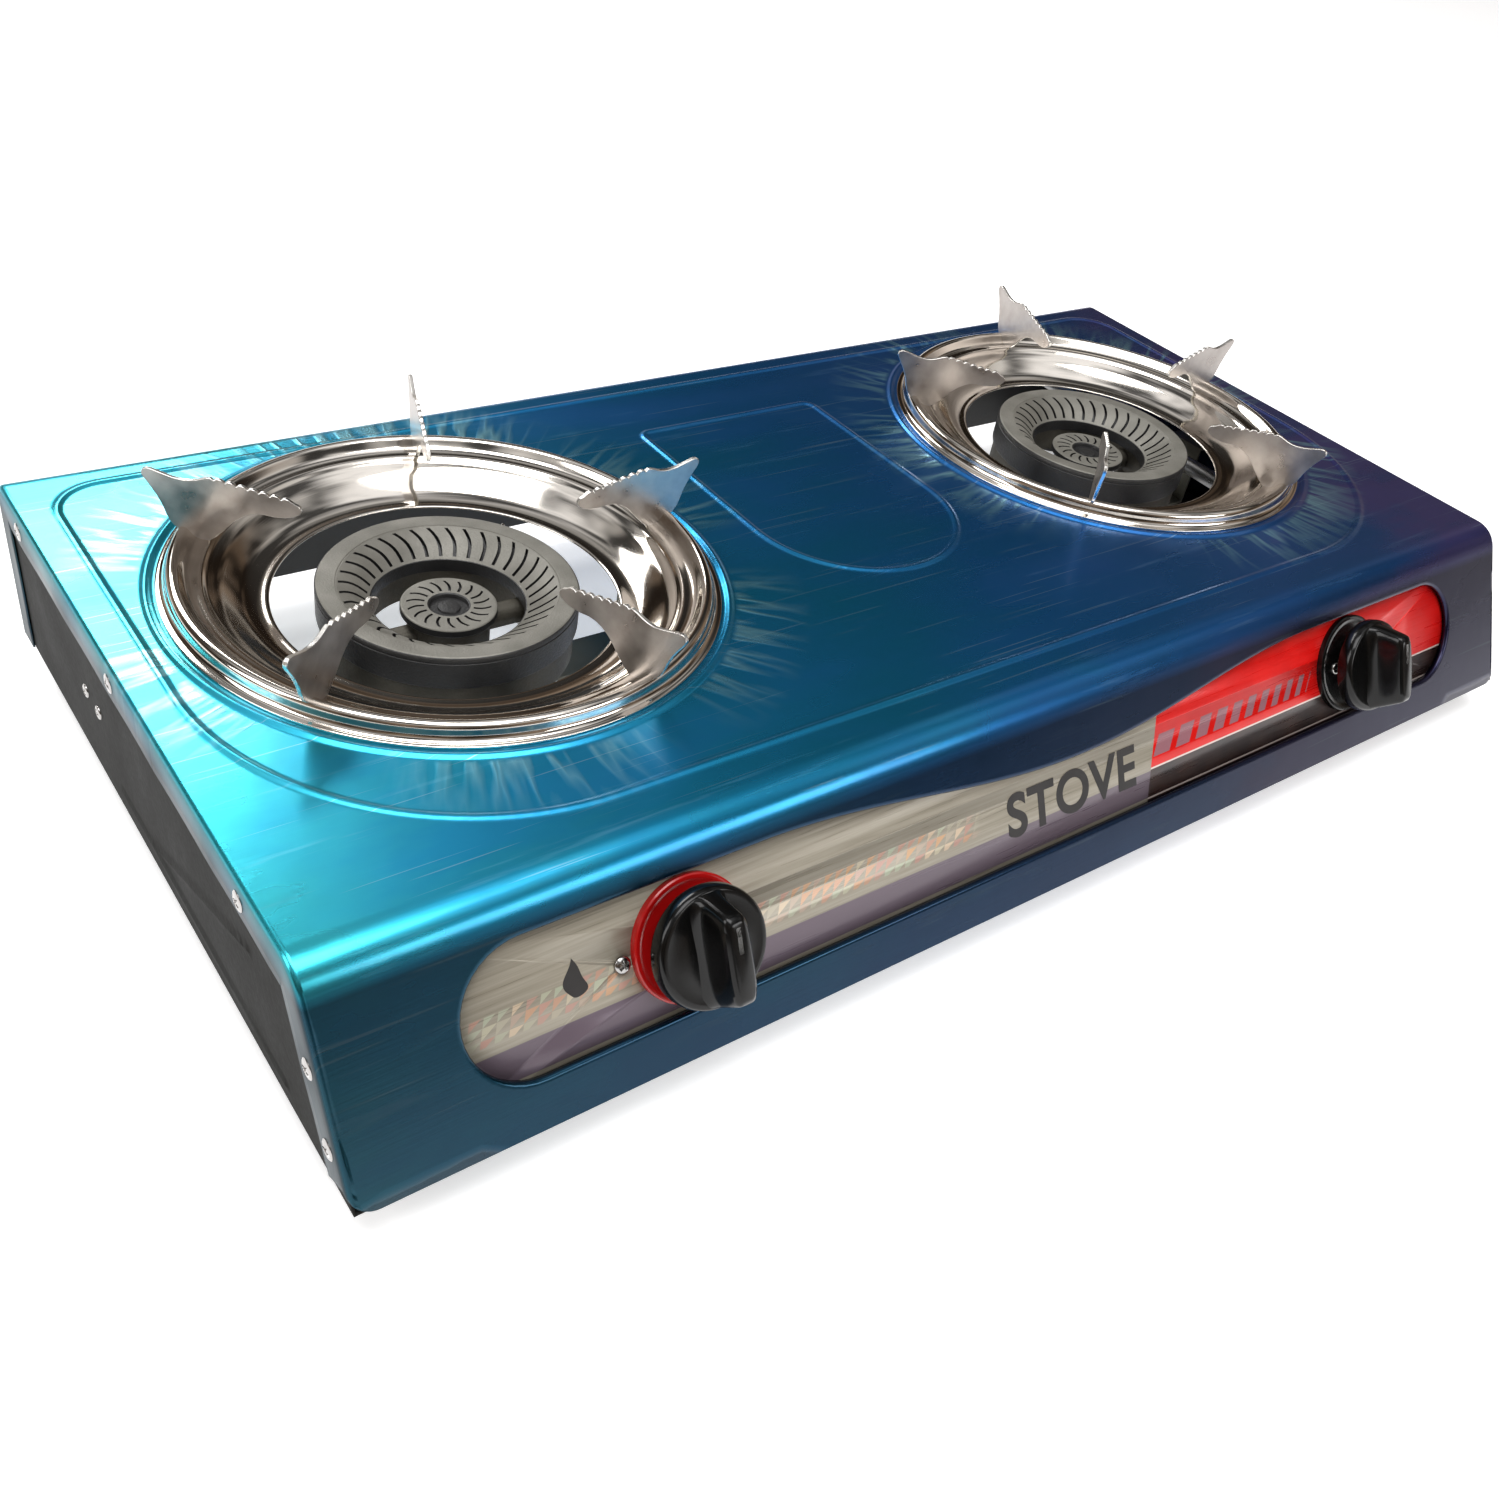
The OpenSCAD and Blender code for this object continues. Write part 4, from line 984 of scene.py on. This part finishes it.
# ---------------------------------------------------------------- pans, pot supports, caps
def drip_pan(name, side):
    """A spun dish: a hem on the top, a crest, and a bowl that falls in two rounded steps."""
    spine = [(PAN_R, 0.2), (PAN_R, 0.9), (PAN_R - 0.8, 1.2), (PAN_R - 2.2, 1.5), (PAN_R - 3.6, 3.0),
             (113.2, 6.0), (112.2, 7.4), (110.5, 8.0), (108.9, 7.5), (107.4, 5.8), (105.6, 3.9), (103.2, 3.0),
             (100.8, 2.8), (99.4, 2.2), (97.8, 0.8), (95.6, -0.3), (93.2, -1.7), (90.6, -3.7), (87.4, -6.0),
             (84.2, -7.9), (81.0, -9.0), (78.0, -9.5), (75.2, -9.5), (74.2, -9.8), (74.0, -10.3)]
    smooth = smooth_path([(r, 0, z) for r, z in spine], 3)
    verts, faces = revolve([(p.x, p.z) for p in smooth], 240, False)
    made = piece("pan_dish_" + name, verts, faces, "pan_" + name, "pan",
                 at_burner(side, TOP_Z, PAN_TURN if side > 0 else 0), ["drip_pan_" + name], sharp=80,
                 facing=(0, 0, 1))
    modify(made, "SOLIDIFY", thickness=PAN_T * MM, offset=-1.0)


def fin_outline():
    """Side view of a pot support: (distance from the pan's axis, height above the top)."""
    teeth, run, fall = 7, 31.0, 6.2
    under = [(62.0, 20.6), (64.5, 19.0), (68.0, 18.2), (72.5, 18.1), (77.0, 18.6), (80.8, 18.2), (84.0, 17.0),
             (87.0, 15.2), (89.5, 13.0), (94.0, 8.0)]
    foot = [(97.0, 5.0), (101.0, 2.0), (112.0, 2.0), (112.5, 7.0), (114.0, 8.2), (115.5, 10.2), (116.8, 13.4),
            (118.0, 17.5), (119.8, 21.6), (122.0, 25.5), (124.0, 28.6), (125.0, 30.5), (125.0, 31.8),
            (124.4, 32.9), (123.0, 33.5), (121.0, 33.3)]
    dip = [(117.0, 32.0), (113.0, 30.8), (109.0, 30.2), (106.0, 30.3), (103.0, 31.0), (100.0, 32.1),
           (97.5, 32.7)]
    top = []
    for i in range(teeth):
        for k in range(5):
            t = (i + k / 5) / teeth
            top.append((96.0 - run * t, 31.6 - fall * t + math.sin(math.pi * k / 5) ** 0.6 * 1.3))
    nose = [(64.0, 25.2), (62.4, 24.6), (61.4, 23.4), (61.2, 21.9)]
    return under + foot + dip + top + nose


def pot_supports(name, side):
    """Five fins, each a pressed sheet with a slight twist."""
    shape = fin_outline()
    parts = []
    for i in range(FINS):
        turn = Matrix.Rotation(math.tau * i / FINS, 4, "Z")
        rings = [[turn @ Vector((r, y + 0.35 * math.sin((r - 60) / 19) * (z / 33), z)) for r, z in shape]
                 for y in (-FIN_T / 2, FIN_T / 2)]
        parts.append(loft(rings))
    verts, faces, _ = merged(*parts)
    cut_edges = [face for face in faces if len(face) == 4]
    flats = [face for face in faces if len(face) > 4]
    # the cut edges take the lighter edge finish, a painted highlight
    made = piece("pan_fins_" + name, verts, cut_edges + flats, "pan_" + name,
                 ("fin_edge", "fin"), at_burner(side, TOP_Z, PAN_TURN if side > 0 else 0),
                 ["pot_supports_" + name], sharp=28, extra=[(len(cut_edges), 1)])
    bevel(made, 0.32, 2, 50)


def slotted_top(r_out, r_in, height, slots, slot_out, slot_in, width, sweep, depth):
    """A ring of thin curved slots cut in a surface of revolution. height(r) is the surface.
    Returns the mesh, with the slots' faces last, and where they start."""
    rows = [r_out] + [slot_out + 0.15, slot_out]
    rows += [slot_out + (slot_in - slot_out) * k / 6 for k in range(1, 7)] + [slot_in - 0.15, r_in]
    verts, top, cut = [], [], []
    columns = 8
    for r in rows:
        inside = slot_in - 0.01 <= r <= slot_out + 0.01
        t = (slot_out - r) / (slot_out - slot_in)
        t = min(max(t, 0.0), 1.0)
        bend = sweep * t + 0.35 * sweep * math.sin(math.pi * t)
        share = width / (math.tau * r / slots)
        for k in range(slots):
            low, high = 0.5 - share / 2, 0.5 + share / 2
            marks = (0.0, 0.2, low - 0.012, low, high, high + 0.012, 0.8, 0.9)
            for j, mark in enumerate(marks):
                a = math.tau * (k + mark) / slots + bend
                sunk = inside and j in (3, 4)
                verts.append((r * math.cos(a), r * math.sin(a), height(r) - (depth if sunk else 0)))
    total = slots * columns
    for i in range(len(rows) - 1):
        for k in range(total):
            a, b = i * total + k, i * total + (k + 1) % total
            face = (a, b, b + total, a + total)
            deep = k % columns in (2, 3, 4) and 1 <= i < len(rows) - 2
            (cut if deep else top).append(face)
    return verts, top + cut, len(top)


def cap(name, node, side, outline_parts, ring, slot_plan):
    """A burner cap: light machined top with dark slots, black walls."""
    walls = revolve(outline_parts, 192, False)
    verts, faces, split = slotted_top(*slot_plan)
    rim = revolve(ring, 192, False)
    all_verts, all_faces, starts = merged(rim, (verts, faces), walls)
    piece(name, all_verts, all_faces, node, ("cap_top", "cap_side"), at_burner(side), [node],
          sharp=30, extra=[(starts[1] + split, 1)])


CAP_R, RIM_R, HOLE_R = 56.0, 47.5, 33.0
CAP_TOP = TOP_Z - 3.5
CONE_DROP = 9.5
TROUGH_TOP = 60.0
CENTRE_TOP = TOP_Z - 14.5


def cone(r):
    t = (RIM_R - 0.5 - r) / (RIM_R - HOLE_R - 1)
    return CAP_TOP - 0.5 - (CONE_DROP - 0.5) * t + 0.7 * math.sin(math.pi * min(max(t, 0), 1))


def dish(r):
    return CENTRE_TOP - 0.1 - 0.35 * (20 - r) / 11


for cap_name, cap_side in SIDES:
    drip_pan(cap_name, cap_side)
    pot_supports(cap_name, cap_side)
    ring_rim = [(CAP_R - 0.6, CAP_TOP - 0.35), (CAP_R - 1.1, CAP_TOP), (RIM_R + 0.7, CAP_TOP),
                (RIM_R + 0.1, CAP_TOP - 0.1), (RIM_R - 0.2, CAP_TOP - 0.5), (RIM_R - 0.5, CAP_TOP - 0.5)]
    lip = HOLE_R + 0.5
    ring_wall = [(lip, cone(lip)), (HOLE_R + 0.1, cone(lip) - 0.2), (HOLE_R, cone(lip) - 0.8),
                 (HOLE_R, TROUGH_TOP), (HOLE_R + 3, TROUGH_TOP), (HOLE_R + 3, CAP_TOP - 12),
                 (RIM_R, CAP_TOP - 4.5), (CAP_R - 4.5, CAP_TOP - 4.5), (CAP_R - 4.5, TROUGH_TOP),
                 (CAP_R - 0.5, TROUGH_TOP), (CAP_R - 0.1, TROUGH_TOP + 0.5), (CAP_R, TROUGH_TOP + 1.2)]
    ring_wall += [(CAP_R - inset, CAP_TOP - drop) for inset, drop in (
        (0, 3.4), (0.4, 3.1), (0.4, 2.7), (0, 2.4), (0, 0.9), (0.2, 0.5), (0.6, 0.35))]
    cap("ring_cap_top_" + cap_name, "ring_cap_" + cap_name, cap_side, ring_wall, ring_rim,
        (RIM_R - 0.5, lip, cone, 36, RIM_R - 1.4, HOLE_R + 1.7, 1.45, -0.10, 2.6))
    centre_rim = [(20.9, CENTRE_TOP - 0.6), (20.6, CENTRE_TOP - 0.2), (20.0, dish(20.0))]
    centre_wall = [(9.3, dish(9.3))]
    centre_wall += [(r, CENTRE_TOP - drop) for r, drop in (
        (8.6, 0.8), (8.4, 1.4), (8.2, 2.4), (5.0, 2.4), (4.6, 1.6), (3.4, 1.4), (0.01, 1.4), (0.01, 4),
        (16.0, 4))]
    centre_wall += [(16.0, TROUGH_TOP), (18.0, TROUGH_TOP), (20.6, TROUGH_TOP + 0.6),
                    (21.0, TROUGH_TOP + 1.2), (21.0, CENTRE_TOP - 0.9), (20.9, CENTRE_TOP - 0.6)]
    cap("centre_cap_top_" + cap_name, "centre_cap_" + cap_name, cap_side, centre_wall, centre_rim,
        (20.0, 9.3, dish, 18, 18.0, 10.8, 1.1, -0.14, 1.6))


# ---------------------------------------------------------------- parts that keep their CAD shape
for part_side in ("left", "right"):
    refined("burner_body_" + part_side, "burner", 0.5)
    refined("burner_bracket_" + part_side, "bracket", 0.3)
    refined("gas_valve_" + part_side, "alloy", 0.4)
    refined("valve_stem_" + part_side, "chrome", 0.2)
    refined("valve_plug_" + part_side, "brass", 0.15)
    for shutter in ("ring", "centre"):
        refined(f"air_shutter_{shutter}_{part_side}", "shutter", 0.15)
    for end in ("front", "back"):
        refined(f"foot_{end}_{part_side}", "foot", 0.5)
for part, key, part_slot, edge in (
        ("back_panel", "back", "black_paint", 0.2), ("gas_injectors", "brass", "brass", 0.2),
        ("gas_rail", "rail", "rail_steel", 0.3), ("hose_inlet", "brass", "brass", 0.0),
        ("inlet_nut", "brass", "brass", 0.4), ("piezo_igniters", "igniter", "igniter_plastic", 0.5),
        ("electrode_insulators", "ceramic", "ceramic", 0.15),
        ("electrode_rods", "chrome", "chrome_fastener", 0.0),
        ("bracket_screws", "chrome", "chrome_fastener", 0.1),
        ("foot_screws", "chrome", "chrome_fastener", 0.1)):
    refined(part, key, edge)


def springs():
    """A wire coil under each tap plug."""
    low, coil_r, pitch, coils, steps = -24.4, 5.4, 2.0, 4, 24
    for name, side in SIDES:
        path = [on_circle(coil_r, i, steps, low + pitch * i / steps) for i in range(steps * coils + 1)]
        verts, faces = tube(path, 0.48, 10)
        piece("tap_spring_" + name, verts, faces, "tap_plug_" + name, "spring", at_knob(side),
              ["valve_spring_" + name], sharp=60)


def leads():
    """Each ignition lead runs back from its igniter, round the burner's outside, and up to its electrode."""
    knob_y = FOOT_Y + KNOB_UP * math.sin(LEAN)
    knob_z = KNOB_UP * math.cos(LEAN)
    reach, turn = 62.0, math.radians(40)
    parts = []
    for side in (-1, 1):
        a = Vector((side * KNOB_X + 17.6, knob_y + 29 * math.cos(LEAN), knob_z - 29 * math.sin(LEAN)))
        b = Vector((side * BURNER_X + reach * math.cos(turn), BURNER_Y + reach * math.sin(turn), 38))
        x = side * BURNER_X + 68
        route = [a, a + 3 * Vector((0, math.cos(LEAN), -math.sin(LEAN))), a + Vector((8, 4, -4)),
                 a + Vector((16, 6, -10)), Vector((a.x + 24, -134, 12)), Vector((x - 8, -110, 9)),
                 Vector((x, -80, 8)), Vector((x, -30, 8)), Vector((x, 20, 8)), Vector((x - 4, 48, 12)),
                 Vector((b.x, b.y, 24)), b]
        parts.append(tube(smooth_path(route, 6), 1.2, 12))
    verts, faces, _ = merged(*parts)
    piece("ignition_wires", verts, faces, "stove_body", "lead", replaces=["ignition_leads"],
          sharp=60)


springs()
leads()


# ---------------------------------------------------------------- floor, light and camera
def studio():
    floor_mesh = bpy.data.meshes.new("floor")
    reach = 14.0
    corners = [(reach * x, reach * y, 0) for x, y in ((-1, -1), (1, -1), (1, 1), (-1, 1))]
    floor_mesh.from_pydata(corners, [], [(0, 1, 2, 3)])
    floor = new_object("floor", floor_mesh)
    paint = Paint("floor_pale", Roughness=0.6, Specular_IOR_Level=0.2)
    paint.set(Base_Color=paint.mix(paint.spread(paint.noise(3), 0, 1), (0.9, 0.9, 0.9), (0.93, 0.93, 0.93)))
    paint.set(Emission_Color=(1.0, 1.0, 1.0), Emission_Strength=0.5)
    floor_mesh.materials.append(paint.material)

    world = bpy.data.worlds.new("studio")
    bpy.context.scene.world = world
    world.use_nodes = True
    tree = world.node_tree
    sky = tree.nodes["Background"]
    spot, parts, ramp, blots, depth, backdrop, seen, either = (
        tree.nodes.new("ShaderNode" + kind) for kind in (
            "TexCoord", "SeparateXYZ", "ValToRGB", "TexNoise", "MapRange", "Background", "LightPath",
            "MixShader"))
    blots.inputs["Scale"].default_value = 2.6
    blots.inputs["Detail"].default_value = 2.0
    for socket, value in zip(depth.inputs[1:5], (0.42, 0.6, 0.12, 1.7)):
        socket.default_value = value
    backdrop.inputs["Color"].default_value = (0.93, 0.93, 0.93, 1)
    for source, target in (
            (spot.outputs["Generated"], parts.inputs[0]), (parts.outputs["Z"], ramp.inputs[0]),
            (spot.outputs["Generated"], blots.inputs["Vector"]), (blots.outputs[0], depth.inputs[0]),
            (depth.outputs[0], sky.inputs["Strength"]), (ramp.outputs[0], sky.inputs["Color"]),
            (seen.outputs["Is Camera Ray"], either.inputs[0]), (sky.outputs[0], either.inputs[1]),
            (backdrop.outputs[0], either.inputs[2]),
            (either.outputs[0], tree.nodes["World Output"].inputs["Surface"])):
        tree.links.new(source, target)
    stops = ramp.color_ramp.elements
    while len(stops) < 5:
        stops.new(0.5)
    for stop, (place, colour) in zip(stops, ((0.0, (0.4, 0.38, 0.36)), (0.15, (0.17, 0.13, 0.1)),
                                             (0.45, (0.12, 0.085, 0.06)), (0.7, (0.4, 0.39, 0.38)),
                                             (1.0, (0.75, 0.75, 0.77)))):
        stop.position = place
        stop.color = (*colour, 1)

    def softbox(name, place, aim, size, power, colour=(1, 1, 1)):
        light = bpy.data.lights.new(name, "AREA")
        light.shape = "RECTANGLE"
        light.size, light.size_y = size
        light.energy = power
        light.color = colour
        made = new_object(name, light)
        made.location = place
        made.rotation_euler = (Vector(aim) - Vector(place)).to_track_quat("-Z", "Y").to_euler()

    softbox("light_top", (-0.4, -0.3, 2.6), (0, 0, 0), (2.2, 1.4), 52)
    softbox("light_back", (-0.2, 2.6, 1.9), (0, 0, 0.1), (1.6, 0.8), 34)
    softbox("light_left", (-2.6, 0.6, 1.6), (0, 0, 0.1), (1.2, 1.6), 26)
    softbox("light_front", (1.2, -2.6, 1.5), (0, 0, 0.1), (1.6, 0.9), 26)


def camera():
    """The photograph's viewpoint: from the left front corner, looking down, tipped a little."""
    place = Vector((-453.6, -442.1, 439.9)) * MM
    aim = Vector((-123.6, -86.9, 58.0)) * MM
    roll = 0.191
    data = bpy.data.cameras.new("camera")
    data.lens = 34.55
    data.sensor_width = 36
    data.clip_start, data.clip_end = 0.01, 60
    made = new_object("camera", data)
    made.location = place
    made.rotation_mode = "QUATERNION"
    made.rotation_quaternion = (aim - place).to_track_quat("-Z", "Y") @ Quaternion((0, 0, 1), roll)
    bpy.context.scene.camera = made


studio()
camera()
bpy.context.scene.view_settings.view_transform = "Standard"
